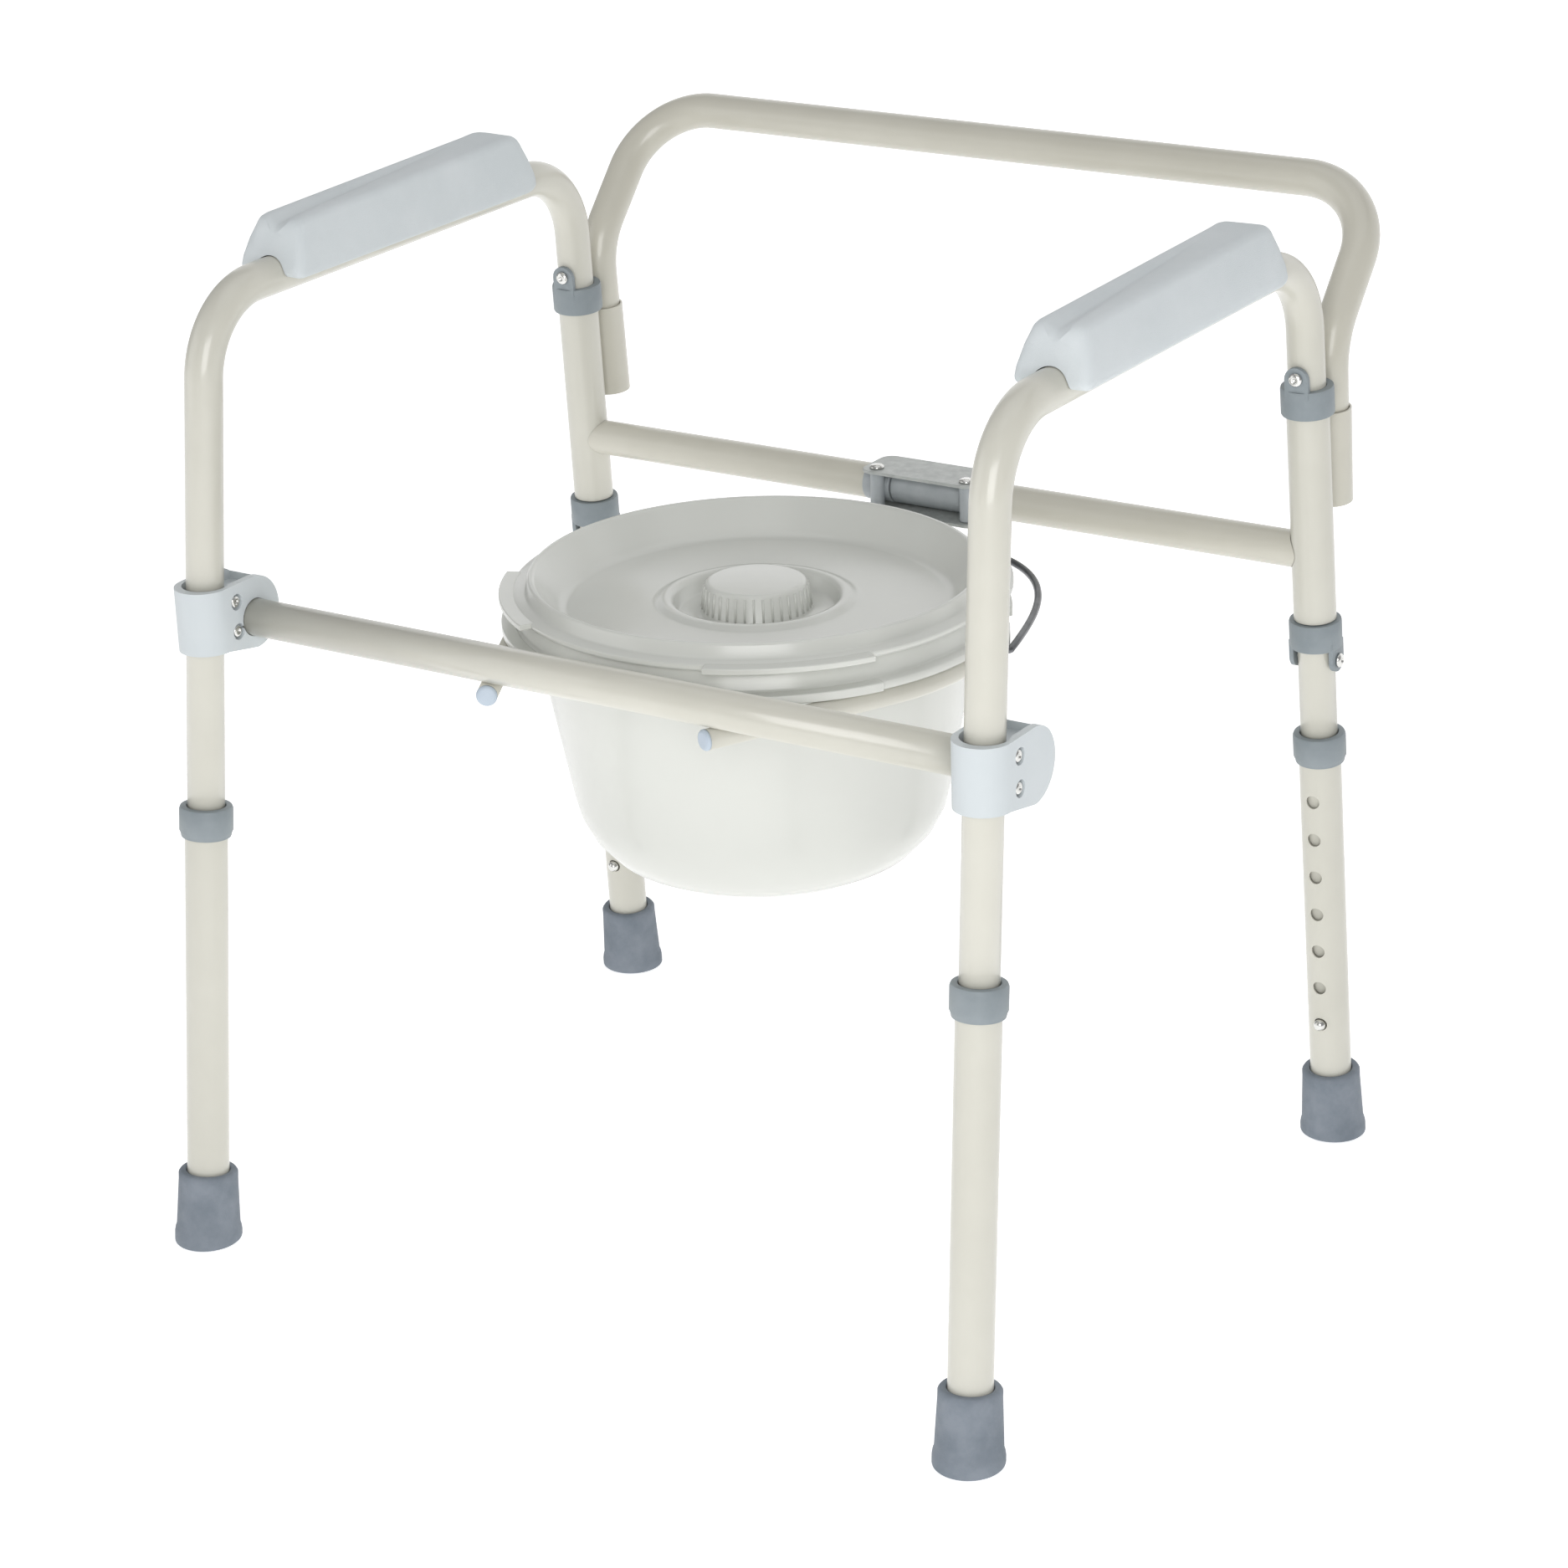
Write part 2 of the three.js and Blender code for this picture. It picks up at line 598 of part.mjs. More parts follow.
function hingePin(side) {
  const z = REAR_BAR_HEIGHT;
  const reach = BRACKET.halfHeight + GAP;
  const { shank, head, headHeight } = PIN;
  const profile = [
    [0, -reach - headHeight - 0.6],
    [head, -reach - headHeight],
    [head, -reach],
    [shank, -reach],
    [shank, reach],
    [head, reach],
    [head, reach + headHeight],
    [0, reach + 2 * headHeight],
  ];
  return turned(profile, 12).translate(side.sign * BRACKET.pinX, BRACKET.pinY, z);
}

function railSocket() {
  const from = along(rearLeg, SOCKET_START);
  const to = along(rearLeg, SOCKET_END);
  const socket = pipe(OUTER_TUBE_R, FRAME_TUBE_R + GAP, from, to, TUBE_SEGMENTS);
  const webFront = -SOCKET_OFFSET + OUTER_TUBE_R + GAP;
  const web = block(-3, 3, webFront, -OUTER_TUBE_R + 1, SOCKET_START + 10, SOCKET_END - 8);
  return join(socket, web);
}

function backRail() {
  const inSocket = (side, height) => {
    return new THREE.Vector3(0, 0, along(rearLeg, height)).applyMatrix4(socketMatrix(side));
  };
  const top = (side) => new THREE.Vector3(side.sign * RAIL_HALF_WIDTH, RAIL_TOP.y, RAIL_TOP.z);
  const [left, right] = sides;
  const corners = [
    inSocket(left, RAIL_START),
    inSocket(left, RAIL_KNEE),
    top(left),
    top(right),
    inSocket(right, RAIL_KNEE),
    inSocket(right, RAIL_START),
  ];
  return tubeThrough(roundedPath(corners, RAIL_BENDS, BEND_STEPS), FRAME_TUBE_R, FRAME_BORE_R);
}

// ---------------------------------------------------------------- pail, bail and lid
function pailPlacing(angle) {
  const turn = new THREE.Matrix4().makeRotationZ(angle);
  return new THREE.Matrix4().makeTranslation(0, PAIL.y, PAIL.z).multiply(turn);
}

function pailBody() {
  const wall = 2.6;
  const profile = [
    [0, -147],
    [66, -147],
    [88, -141],
    [103, -128],
    [111, -108],
    [130.6, -3],
    [133, 0],
    [FLANGE_R, 0],
    [FLANGE_R, 5],
    [139.5, 6.5],
    [139.5, 18.5],
    [136.6, 18.5],
    [133, 2],
    [130.6 - wall, -3],
    [111 - wall, -108],
    [103 - wall, -126],
    [87, -138.5],
    [66, -147 + wall],
    [0, -147 + wall],
  ];
  const body = turned(profile, PAIL.segments);
  const ears = [-1, 1].flatMap((s) => {
    const plate = sideBlock(s, EAR.near, EAR.far, -EAR.half, EAR.half, -EAR.drop, 5);
    const shelf = sideBlock(s, 140, EAR.far, -EAR.half, EAR.half, 0.2, 5);
    return [plate, shelf];
  });
  const earHoles = [-1, 1].map((s) => {
    const hole = rod(BAIL.wire + 0.5, EAR.near - 1, EAR.far + 1, 10).rotateY((s * Math.PI) / 2);
    return hole.translate(0, 0, -EAR.pinDrop);
  });
  const whole = [body, ...ears].map(solid).reduce((sum, piece) => sum.add(piece));
  return surface(earHoles.reduce((left, hole) => left.subtract(solid(hole)), whole));
}

// Wire bail laid back behind the rim, its ends bent in through the pail's ears.
function bail() {
  const { wire, halfWidth, depth, square, end } = BAIL;
  const away = new THREE.Vector3(0, Math.sin(BAIL_HANG), -Math.cos(BAIL_HANG));
  const at = (across, far) => new THREE.Vector3(across, 0, 0).addScaledVector(away, far);
  const stations = [at(end, 0), at(halfWidth, 0)];
  const steps = 20;
  for (let i = 1; i < steps; i += 1) {
    const angle = (Math.PI * i) / steps;
    const side = Math.sign(Math.cos(angle)) * Math.abs(Math.cos(angle)) ** square;
    stations.push(at(halfWidth * side, depth * Math.sin(angle) ** square));
  }
  stations.push(at(-halfWidth, 0), at(-end, 0));
  return tubeThrough(stations, wire, 0, 6).translate(0, 0, -EAR.pinDrop);
}

function lid() {
  const seat = 18.8; // rests on the pail's rim
  const profile = [
    [0, seat + 4],
    [29, seat + 4],
    [31, seat + 2.5],
    [34, seat - 15],
    [46, seat - 15],
    [48, seat - 8],
    [52, seat - 5],
    [58, seat - 7.5],
    [112, seat - 8.5],
    [117, seat - 6],
    [129.5, seat + 11],
    [131.5, seat + 12.5],
    [133, seat + 11.5],
    [134, seat + 4],
    [LID.flange, seat + 3.5],
    [LID.flange, seat],
    [131, seat],
    [129.5, seat + 2],
    [114.5, seat - 9.5],
    [111, seat - 11],
    [57, seat - 10],
    [51, seat - 10],
    [49, seat - 17.5],
    [32, seat - 17.5],
    [28.5, seat + 1.5],
    [0, seat + 1.5],
  ];
  const disc = turned(profile.reverse(), PAIL.segments);
  const tabs = [0, 1, 2, 3].map((k) => {
    const tab = pipe(LID.tab, LID.flange - 5, seat, seat + 3.5, PAIL.segments);
    const sector = lidSector(LID.tabDegrees).rotateZ((k * Math.PI) / 2);
    return solid(tab).intersect(solid(sector));
  });
  return surface(tabs.reduce((sum, tab) => sum.add(tab), solid(disc)));
}

// A wedge about +X with the given opening angle in degrees.
function lidSector(degrees) {
  const half = THREE.MathUtils.degToRad(degrees / 2);
  const far = 200;
  const wedge = new THREE.Shape();
  wedge.moveTo(0, 0);
  wedge.lineTo(far * Math.cos(half), -far * Math.sin(half));
  wedge.lineTo(far * Math.cos(half), far * Math.sin(half));
  wedge.closePath();
  return new THREE.ExtrudeGeometry(wedge, { depth: 40, bevelEnabled: false });
}

// ---------------------------------------------------------------- assembly
function addSide(side) {
  const plane = sideMatrix(side);
  addPart(`${side.name}_arch_tube`, archTube(), paint, plane);
  addPart(`${side.name}_arm_pad`, armPad(), padPlastic, plane);
  for (const end of legEnds) {
    const leg = legMatrix(side, end);
    const name = `${end.name}_${side.name}`;
    addPart(`${name}_leg_extension`, legExtension(end), paint, leg);
    addPart(`${name}_leg_collar`, legCollar(end), collarPlastic, leg);
    addPart(`${name}_snap_button`, snapButton(end), brightSteel, leg);
    addPart(`${name}_snap_spring`, snapSpring(end), zinc, leg);
    addPart(`${name}_foot`, foot(side, end), footRubber);
  }
}

function addRearCollars(side) {
  const leg = legMatrix(side, rearLeg);
  const topSeat = along(rearLeg, SLEEVE_END) + COLLAR.play;
  const lowSeat = along(rearLeg, SLEEVE_START) - COLLAR.play;
  addPart(`${side.name}_sleeve_top_collar`, topCollar(topSeat), collarPlastic, leg);
  addPart(`${side.name}_sleeve_lower_collar`, lowerCollar(lowSeat), collarPlastic, leg);
  const { shank, length, head, headHeight } = COLLAR_SCREW;
  const topScrew = screw(shank, length, head, headHeight).rotateX(Math.PI / 2);
  topScrew.translate(0, -COLLAR.tabFace - GAP, topSeat + COLLAR.height + COLLAR.screwRise);
  addPart(`${side.name}_top_collar_screw`, topScrew, brightSteel, leg);
  const bolt = throughBolt().rotateY((side.sign * Math.PI) / 2).translate(0, 0, lowSeat - LOWER_BOLT_DROP);
  addPart(`${side.name}_lower_collar_bolt`, bolt, brightSteel, leg);
}

function addFront() {
  addPart("front_crossbar", crossbar(), paint);
  const { geometry, spread } = pailHoop();
  addPart("pail_hoop", geometry, paint);
  for (const side of sides) {
    const upright = new THREE.Matrix4().makeTranslation(side.sign * (HALF_WIDTH - 0.2), 0, 0);
    addPart(`${side.name}_front_clamp`, frontClampBody(side), clampPlastic, upright);
    addPart(`${side.name}_hoop_plug`, hoopPlug(side, spread), plugPlastic);
    clampScrewPlaces().forEach((place, i) => {
      for (const [word, s] of [["outer", side.sign], ["inner", -side.sign]]) {
        const piece = screw(CLAMP_SCREW.shank, CLAMP_SCREW.length, CLAMP_SCREW.head, CLAMP_SCREW.headHeight);
        piece.rotateY((s * Math.PI) / 2).translate(s * CLAMP_SCREW.seat, place.y, place.z);
        addPart(`${side.name}_clamp_${word}_${i === 0 ? "low" : "high"}_screw`, piece, brightSteel, upright);
      }
    });
  }
}

function addRear() {
  addPart("hinge_bracket", hingeBracket(), zinc);
  addPart("back_rail", backRail(), paint);
  for (const side of sides) {
    const leg = legMatrix(side, rearLeg);
    const from = along(rearLeg, SLEEVE_START);
    const to = along(rearLeg, SLEEVE_END);
    const sleeve = pipe(OUTER_TUBE_R, SLEEVE_BORE_R, from, to, TUBE_SEGMENTS);
    addPart(`${side.name}_rear_sleeve`, sleeve, paint, leg);
    addPart(`${side.name}_rail_socket`, railSocket(), paint, socketMatrix(side));
    addPart(`${side.name}_rear_bar`, rearHalfBar(side), paint);
    addPart(`${side.name}_hinge_pin`, hingePin(side), brightSteel);
    addRearCollars(side);
  }
}

function addPail() {
  addPart("pail", pailBody(), pailPlastic, pailPlacing(PAIL.turn));
  addPart("pail_bail", bail(), bailWire, pailPlacing(PAIL.turn));
  addPart("pail_lid", lid(), pailPlastic, pailPlacing(LID.turn));
}

sides.forEach(addSide);
addFront();
addRear();
addPail();

model.position.y = -FOOTPRINT_MIDDLE;

export default model;
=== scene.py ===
"""Toilet safety frame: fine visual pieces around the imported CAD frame.

Lengths are in millimetres until an object is made. Heights count from the floor and depths from the
front legs, as in the CAD source.
"""

import math

import bmesh
import bpy
from mathutils import Matrix, Vector


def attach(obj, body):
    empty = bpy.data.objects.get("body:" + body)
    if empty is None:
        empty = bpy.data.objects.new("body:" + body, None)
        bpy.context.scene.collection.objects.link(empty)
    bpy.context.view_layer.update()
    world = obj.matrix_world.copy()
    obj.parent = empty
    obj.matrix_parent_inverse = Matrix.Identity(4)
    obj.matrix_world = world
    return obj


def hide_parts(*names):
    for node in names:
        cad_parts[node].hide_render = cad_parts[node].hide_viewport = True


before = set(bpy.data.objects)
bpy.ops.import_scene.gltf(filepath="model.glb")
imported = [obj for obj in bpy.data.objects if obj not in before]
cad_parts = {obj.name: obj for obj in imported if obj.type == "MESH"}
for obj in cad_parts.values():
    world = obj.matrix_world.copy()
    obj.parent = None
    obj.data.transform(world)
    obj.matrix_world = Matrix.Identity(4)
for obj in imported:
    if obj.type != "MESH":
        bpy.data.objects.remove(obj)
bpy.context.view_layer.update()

# ---------------------------------------------------------------- driving dimensions
MM = 0.001
FOOTPRINT_MIDDLE = 213.684
GAP = 0.3
TUBE_R, TUBE_BORE = 11.1, 9.9
OUTER_R, EXTENSION_BORE, SLEEVE_BORE = 12.7, 11.6, 11.9
HALF_WIDTH, REFERENCE_HEIGHT, FRAME_DEPTH = 259.6, 400.0, 388.5
SIDE_LEAN, FRONT_RAKE, REAR_RAKE = math.atan(0.017), math.atan(0.099), math.atan(0.0771)
ARMREST_HEIGHT, ARM_BEND_R = 573.5, 50.0
HOLE_PITCH, HOLE_COUNT, HOLE_R, LOWEST_HOLE = 25.4, 7, 4.2, 80.7
FRAME_LEG_END, EXTENSION_START, EXTENSION_END, FOOT_HEIGHT = 62.0, 8.0, 272.0, 45.0
SLEEVE_START, SLEEVE_END = 349.0, 477.5
REAR_BAR_HEIGHT = 391.0
SOCKET_OFFSET, SOCKET_START, SOCKET_END = 27.8, 413.5, 472.0
RAIL_START, RAIL_KNEE, RAIL_HALF_WIDTH = 418.0, 513.0, 259.0
RAIL_TOP_Y, RAIL_TOP_Z = 476.3, 591.4
RAIL_BENDS = (45.0, 48.0, 48.0, 45.0)
CROSSBAR_Y, CROSSBAR_Z, CROSSBAR_HALF = 24.0, 383.6, 272.0
HOOP_Y, HOOP_R, HOOP_ROD, HOOP_FOOT_X, HOOP_FOOT_Y = 186.0, 141.0, 6.0, 74.0, 19.0
HOOP_Z = CROSSBAR_Z - TUBE_R - HOOP_ROD - GAP
PAIL_Z = HOOP_Z + HOOP_ROD + GAP
PAIL_TURN, LID_TURN = math.radians(14), math.radians(40)
RIM_TAB_TURN = math.radians(314)
BRACKET_HALF, BRACKET_RISE, BRACKET_PLATE = 41.0, 13.6, 2.0
WEB_R, WEB_HALF = 11.5, 25.0
BRACKET_FRONT, BRACKET_BACK, BRACKET_WEB_Y, PIN_X, PIN_Y = 368.0, 403.2, 390.5, 32.0, 376.0
BOLT_DROP, BOLT_REACH = 25.0, 14.7
COLLAR_HEIGHT, TAB_HALF, TAB_HEIGHT, TAB_FACE, TAB_SCREW = 17.0, 7.5, 19.0, 14.3, 8.0
LEG_COLLAR_GRIP = 16.0
CLAMP_HALF, CLAMP_LOW, CLAMP_HIGH, CLAMP_BORE = 16.5, 370.0, 408.2, 13.6
CLAMP_LOBE_R, CLAMP_LOBE_Z = 21.6, 386.6
CLAMP_POCKET_LOW, CLAMP_POCKET_HIGH = 369.8, 399.0
CLAMP_SCREW_Y, CLAMP_SCREW_Z = 8.4, {"low": 379.5, "high": 397.5}
BAIL_WIRE, BAIL_HALF, BAIL_DEPTH, BAIL_SQUARE, BAIL_END = 2.2, 153.2, 168.0, 0.65, 147.5
BAIL_HANG = math.radians(91.5)
EAR_NEAR, EAR_FAR, EAR_DROP, EAR_HALF, EAR_PIN = 147.8, 150.4, 15.0, 11.0, 8.2
PAD_FRONT, PAD_BACK, PAD_LOW, PAD_SLOPE, PAD_REAR_SLOPE = 74.6, 318.4, 573.4, 13.0, 10.0
PAD_FRONT_TOP, PAD_REAR_TOP = 606.0, 610.0
PAD_HALF, PAD_TOP_HALF, PAD_CORNER, PAD_SHOULDER, PAD_SCOOP = 23.0, 15.6, 3.4, 6.5, 4.2
SCREW_SHAFT_R, SCREW_HEAD_R = 2.2, 4.2
PAIL_WALL, RIM_INNER_R, RIM_TAB_R = 2.6, 141.0, 149.2
LID_SEAT, LID_THICK, LID_TAB_R = 18.8, 3.6, 150.0
KNOB_RIBS, KNOB_RIB_DEPTH, KNOB_DRAFT = 36, 12.0, 0.125
FLOOR_GLOW, WORLD_GLOW = 0.6, 0.34
ROUND = 72

SIDES = {"left": -1, "right": 1}
LEGS = {"front": (-FRONT_RAKE, 0.0, 1), "rear": (REAR_RAKE, FRAME_DEPTH, -1)}


# ---------------------------------------------------------------- placing
def side_matrix(side):
    lean = Matrix.Rotation(-SIDES[side] * SIDE_LEAN, 4, "Y")
    place = Matrix.Translation((SIDES[side] * HALF_WIDTH, 0, REFERENCE_HEIGHT))
    return place @ lean @ Matrix.Translation((0, 0, -REFERENCE_HEIGHT))


def leg_y(end, height):
    rake, depth, _ = LEGS[end]
    return depth + math.tan(rake) * (REFERENCE_HEIGHT - height)


def leg_matrix(side, end):
    foot = Matrix.Translation((0, leg_y(end, 0), 0))
    return side_matrix(side) @ foot @ Matrix.Rotation(LEGS[end][0], 4, "X")


def along(end, height):
    return height / math.cos(LEGS[end][0])


def socket_matrix(side):
    foot = Matrix.Translation((SIDES[side] * RAIL_HALF_WIDTH, leg_y("rear", 0), 0))
    return foot @ Matrix.Rotation(REAR_RAKE, 4, "X") @ Matrix.Translation((0, SOCKET_OFFSET, 0))


def turn_to(axis):
    """Rotation that lays +Z along an axis."""
    return Vector(axis).to_track_quat("Z", "Y").to_matrix().to_4x4()


def at(x, y, z):
    return Matrix.Translation((x, y, z))


# ---------------------------------------------------------------- mesh code
class Shell:
    """Vertices and faces in millimetres, gathered from several simple bodies."""

    def __init__(self):
        self.points, self.faces = [], []

    def add(self, points, faces, placing=None):
        base = len(self.points)
        move = placing or Matrix.Identity(4)
        self.points += [move @ Vector(p) for p in points]
        self.faces += [[base + i for i in face] for face in faces]
        return self

    def object(self, name, placing=None):
        mesh = bpy.data.meshes.new(name)
        whole = Matrix.Scale(MM, 4) @ Matrix.Translation((0, -FOOTPRINT_MIDDLE, 0))
        if placing:
            whole = whole @ placing
        mesh.from_pydata([whole @ p for p in self.points], [], self.faces)
        work = bmesh.new()
        work.from_mesh(mesh)
        bmesh.ops.remove_doubles(work, verts=work.verts, dist=1e-6)
        bmesh.ops.recalc_face_normals(work, faces=work.faces)
        work.to_mesh(mesh)
        work.free()
        mesh.shade_smooth()
        made = bpy.data.objects.new(name, mesh)
        bpy.context.scene.collection.objects.link(made)
        return made


def ring_faces(count, rings, closed):
    """Quads between successive rings of the same count."""
    last = rings if closed else rings - 1
    faces = []
    for j in range(last):
        near, far = j * count, ((j + 1) % rings) * count
        faces += [[near + i, near + (i + 1) % count, far + (i + 1) % count, far + i] for i in range(count)]
    return faces


def lathe(profile, segments=ROUND):
    """Solid of revolution about Z.

    A profile that starts on the axis also ends on it; any other closes on itself.
    """
    on_axis = profile[0][0] == 0
    inner = profile[1:-1] if on_axis else profile
    points = []
    for r, z in inner:
        for i in range(segments):
            angle = 2 * math.pi * i / segments
            points.append((r * math.cos(angle), r * math.sin(angle), z))
    faces = ring_faces(segments, len(inner), not on_axis)
    if on_axis:
        for (_, z), first in ((profile[0], 0), (profile[-1], (len(inner) - 1) * segments)):
            points.append((0, 0, z))
            tip = len(points) - 1
            faces += [[tip, first + i, first + (i + 1) % segments] for i in range(segments)]
    return points, faces


def pipe(outer, inner, low, high, segments=ROUND):
    return lathe([(inner, low), (outer, low), (outer, high), (inner, high)], segments)


def rod(radius, low, high, segments=32):
    return lathe([(0, low), (radius, low), (radius, high), (0, high)], segments)


def box(x0, x1, y0, y1, z0, z1):
    points = [(x, y, z) for z in (z0, z1) for y in (y0, y1) for x in (x0, x1)]
    faces = [[0, 1, 3, 2], [4, 6, 7, 5], [0, 4, 5, 1], [2, 3, 7, 6], [0, 2, 6, 4], [1, 5, 7, 3]]
    return points, faces


def prism(outline, low, high):
    """Outline in the XY plane drawn out along Z."""
    count = len(outline)
    points = [(x, y, z) for z in (low, high) for x, y in outline]
    faces = [list(range(count)), list(range(count, 2 * count))] + ring_faces(count, 2, False)
    return points, faces


def bent_path(corners, radii, steps=18):
    """Polyline with each inner corner rounded by an arc of its own radius."""
    stations = [corners[0]]
    for i in range(1, len(corners) - 1):
        back = (corners[i - 1] - corners[i]).normalized()
        ahead = (corners[i + 1] - corners[i]).normalized()
        half = back.angle(ahead) / 2
        radius = radii[i - 1]
        centre = corners[i] + (back + ahead).normalized() * (radius / math.sin(half))
        start = corners[i] + back * (radius / math.tan(half)) - centre
        end = corners[i] + ahead * (radius / math.tan(half)) - centre
        axis, sweep = start.cross(end).normalized(), start.angle(end)
        for k in range(steps + 1):
            stations.append(Matrix.Rotation(sweep * k / steps, 3, axis) @ start + centre)
    return stations + [corners[-1]]


def sweep_tube(stations, outer, inner=0, segments=32):
    """Tube or rod along stations."""
    count = len(stations)
    tangents = []
    for i, p in enumerate(stations):
        before = stations[max(0, i - 1)]
        after = stations[min(count - 1, i + 1)]
        arriving, leaving = (p - before).normalized(), (after - p).normalized()
        tangents.append((arriving + leaving).normalized())
    side = tangents[0].orthogonal().normalized()
    rings = {outer: [], inner: []}
    for i, p in enumerate(stations):
        side = (side - tangents[i] * side.dot(tangents[i])).normalized()
        up = tangents[i].cross(side)
        for radius, ring in rings.items():
            for k in range(segments):
                angle = 2 * math.pi * k / segments
                ring.append(p + side * (radius * math.cos(angle)) + up * (radius * math.sin(angle)))
    faces = ring_faces(segments, count, False)
    points = list(rings[outer])
    if inner:
        base = len(points)
        points += rings[inner]
        faces += [[base + i for i in face] for face in ring_faces(segments, count, False)]
        for first in (0, (count - 1) * segments):
            for i in range(segments):
                j = (i + 1) % segments
                faces.append([first + i, first + j, base + first + j, base + first + i])
    else:
        faces += [list(range(segments)), list(range((count - 1) * segments, count * segments))]
    return points, faces


def soften(piece, width, segments=3, angle=32):
    bevel = piece.modifiers.new("edges", "BEVEL")
    bevel.width, bevel.segments = width * MM, segments
    bevel.limit_method, bevel.angle_limit = "ANGLE", math.radians(angle)
    bevel.harden_normals = True
    return piece


def subtract(piece, tool):
    """Boolean cut, applied at once."""
    cut = piece.modifiers.new("cut", "BOOLEAN")
    cut.object, cut.operation, cut.solver = tool, "DIFFERENCE", "EXACT"
    apply_modifiers(piece)
    bpy.data.objects.remove(tool)
    return piece


def unite(piece, tool):
    """Boolean union, applied at once."""
    joined = piece.modifiers.new("join", "BOOLEAN")
    joined.object, joined.operation, joined.solver = tool, "UNION", "EXACT"
    apply_modifiers(piece)
    bpy.data.objects.remove(tool)
    return piece


def apply_modifiers(piece):
    evaluated = piece.evaluated_get(bpy.context.evaluated_depsgraph_get())
    mesh = bpy.data.meshes.new_from_object(evaluated)
    piece.modifiers.clear()
    piece.data = mesh
    mesh.shade_smooth()


# ---------------------------------------------------------------- materials
def new_material(name):
    made = bpy.data.materials.new(name)
    made.use_nodes = True
    return made, made.node_tree.nodes, made.node_tree.links


def node(nodes, kind, **inputs):
    made = nodes.new(kind)
    for key, value in inputs.items():
        made.inputs[key.replace("_", " ")].default_value = value
    return made


def varied(links, nodes, source, low, high, target):
    """Maps a 0-1 texture value on to a range of a shader input."""
    span = nodes.new("ShaderNodeMapRange")
    span.inputs["To Min"].default_value, span.inputs["To Max"].default_value = low, high
    links.new(source, span.inputs["Value"])
    links.new(span.outputs["Result"], target)


def coloured(links, nodes, source, dark, light, target, low=0.35, high=0.65):
    ramp = nodes.new("ShaderNodeValToRGB")
    ramp.color_ramp.elements[0].position, ramp.color_ramp.elements[1].position = low, high
    ramp.color_ramp.elements[0].color, ramp.color_ramp.elements[1].color = (*dark, 1), (*light, 1)
    links.new(source, ramp.inputs["Fac"])
    links.new(ramp.outputs["Color"], target)


def finish_material(name, dark, light, rough, metallic=0.0, coat=0.0, grain=900.0, bump=0.02, drift=9.0):
    """Surface with slow colour drift, fine grain in roughness and bump, and optional clear coat."""
    made, nodes, links = new_material(name)
    shader = nodes["Principled BSDF"]
    place = nodes.new("ShaderNodeTexCoord")
    slow = node(nodes, "ShaderNodeTexNoise", Scale=drift, Detail=4.0, Roughness=0.6)
    fine = node(nodes, "ShaderNodeTexNoise", Scale=grain, Detail=3.0, Roughness=0.55)
    for texture in (slow, fine):
        links.new(place.outputs["Object"], texture.inputs["Vector"])
    coloured(links, nodes, slow.outputs["Fac"], dark, light, shader.inputs["Base Color"])
    varied(links, nodes, fine.outputs["Fac"], rough * 0.85, rough * 1.15, shader.inputs["Roughness"])
    relief = node(nodes, "ShaderNodeBump", Strength=bump, Distance=0.001)
    links.new(fine.outputs["Fac"], relief.inputs["Height"])
    links.new(relief.outputs["Normal"], shader.inputs["Normal"])
    shader.inputs["Metallic"].default_value = metallic
    shader.inputs["Coat Weight"].default_value = coat
    shader.inputs["Coat Roughness"].default_value = 0.12
    return made


PAINT = finish_material(
    "frame_paint", (0.56, 0.55, 0.485), (0.60, 0.59, 0.525), 0.3, coat=0.4, grain=420, bump=0.05
)
# Painted shade: the frame paint made darker for the rear bar, its sockets and welds, and the back rail, which
# stand further from the lamps and partly in shade.
SHADED_PAINT = finish_material(
    "frame_paint_painted_shade", (0.53, 0.515, 0.445), (0.57, 0.555, 0.485), 0.32, coat=0.35, grain=420, bump=0.05
)
PAD = finish_material(
    "armrest_plastic", (0.60, 0.645, 0.665), (0.65, 0.69, 0.71), 0.62, grain=2200, bump=0.35, drift=14
)
CLAMP = finish_material(
    "clamp_plastic", (0.54, 0.585, 0.605), (0.58, 0.62, 0.64), 0.42, grain=700, bump=0.03
)
COLLAR = finish_material(
    "collar_plastic", (0.21, 0.245, 0.265), (0.26, 0.295, 0.315), 0.5, grain=900, bump=0.08, drift=30
)
RUBBER = finish_material(
    "foot_rubber", (0.16, 0.19, 0.225), (0.225, 0.255, 0.295), 0.72, grain=1500, bump=0.25, drift=45
)
PAIL = finish_material(
    "pail_plastic", (0.61, 0.62, 0.585), (0.635, 0.645, 0.61), 0.24, coat=0.2, grain=160, bump=0.004, drift=5
)
ZINC = finish_material(
    "bracket_zinc",
    (0.40, 0.42, 0.41),
    (0.50, 0.52, 0.505),
    0.42,
    metallic=0.25,
    grain=1100,
    bump=0.08,
    drift=160,
)
WEB_STEEL = finish_material(
    "bracket_web_steel",
    (0.36, 0.39, 0.41),
    (0.43, 0.46, 0.48),
    0.38,
    metallic=0.1,
    grain=900,
    bump=0.05,
    drift=60,
)
BRIGHT = finish_material(
    "bright_steel",
    (0.66, 0.66, 0.64),
    (0.78, 0.78, 0.76),
    0.2,
    metallic=1.0,
    grain=1500,
    bump=0.05,
    drift=120,
)
WIRE = finish_material(
    "bail_wire",
    (0.10, 0.105, 0.115),
    (0.17, 0.175, 0.185),
    0.33,
    metallic=0.9,
    grain=1500,
    bump=0.06,
    drift=60,
)
PLUG = finish_material(
    "plug_plastic", (0.42, 0.49, 0.57), (0.47, 0.54, 0.62), 0.45, grain=900, bump=0.05, drift=60
)


def dress(piece, material, body, slot, *nodes):
    """Gives a piece its material and CAD body, and hides the CAD nodes it stands in for. The slot argument is
    not used.
    """
    piece.data.materials.clear()
    piece.data.materials.append(material)
    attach(piece, body)
    if nodes:
        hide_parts(*nodes)
    return piece


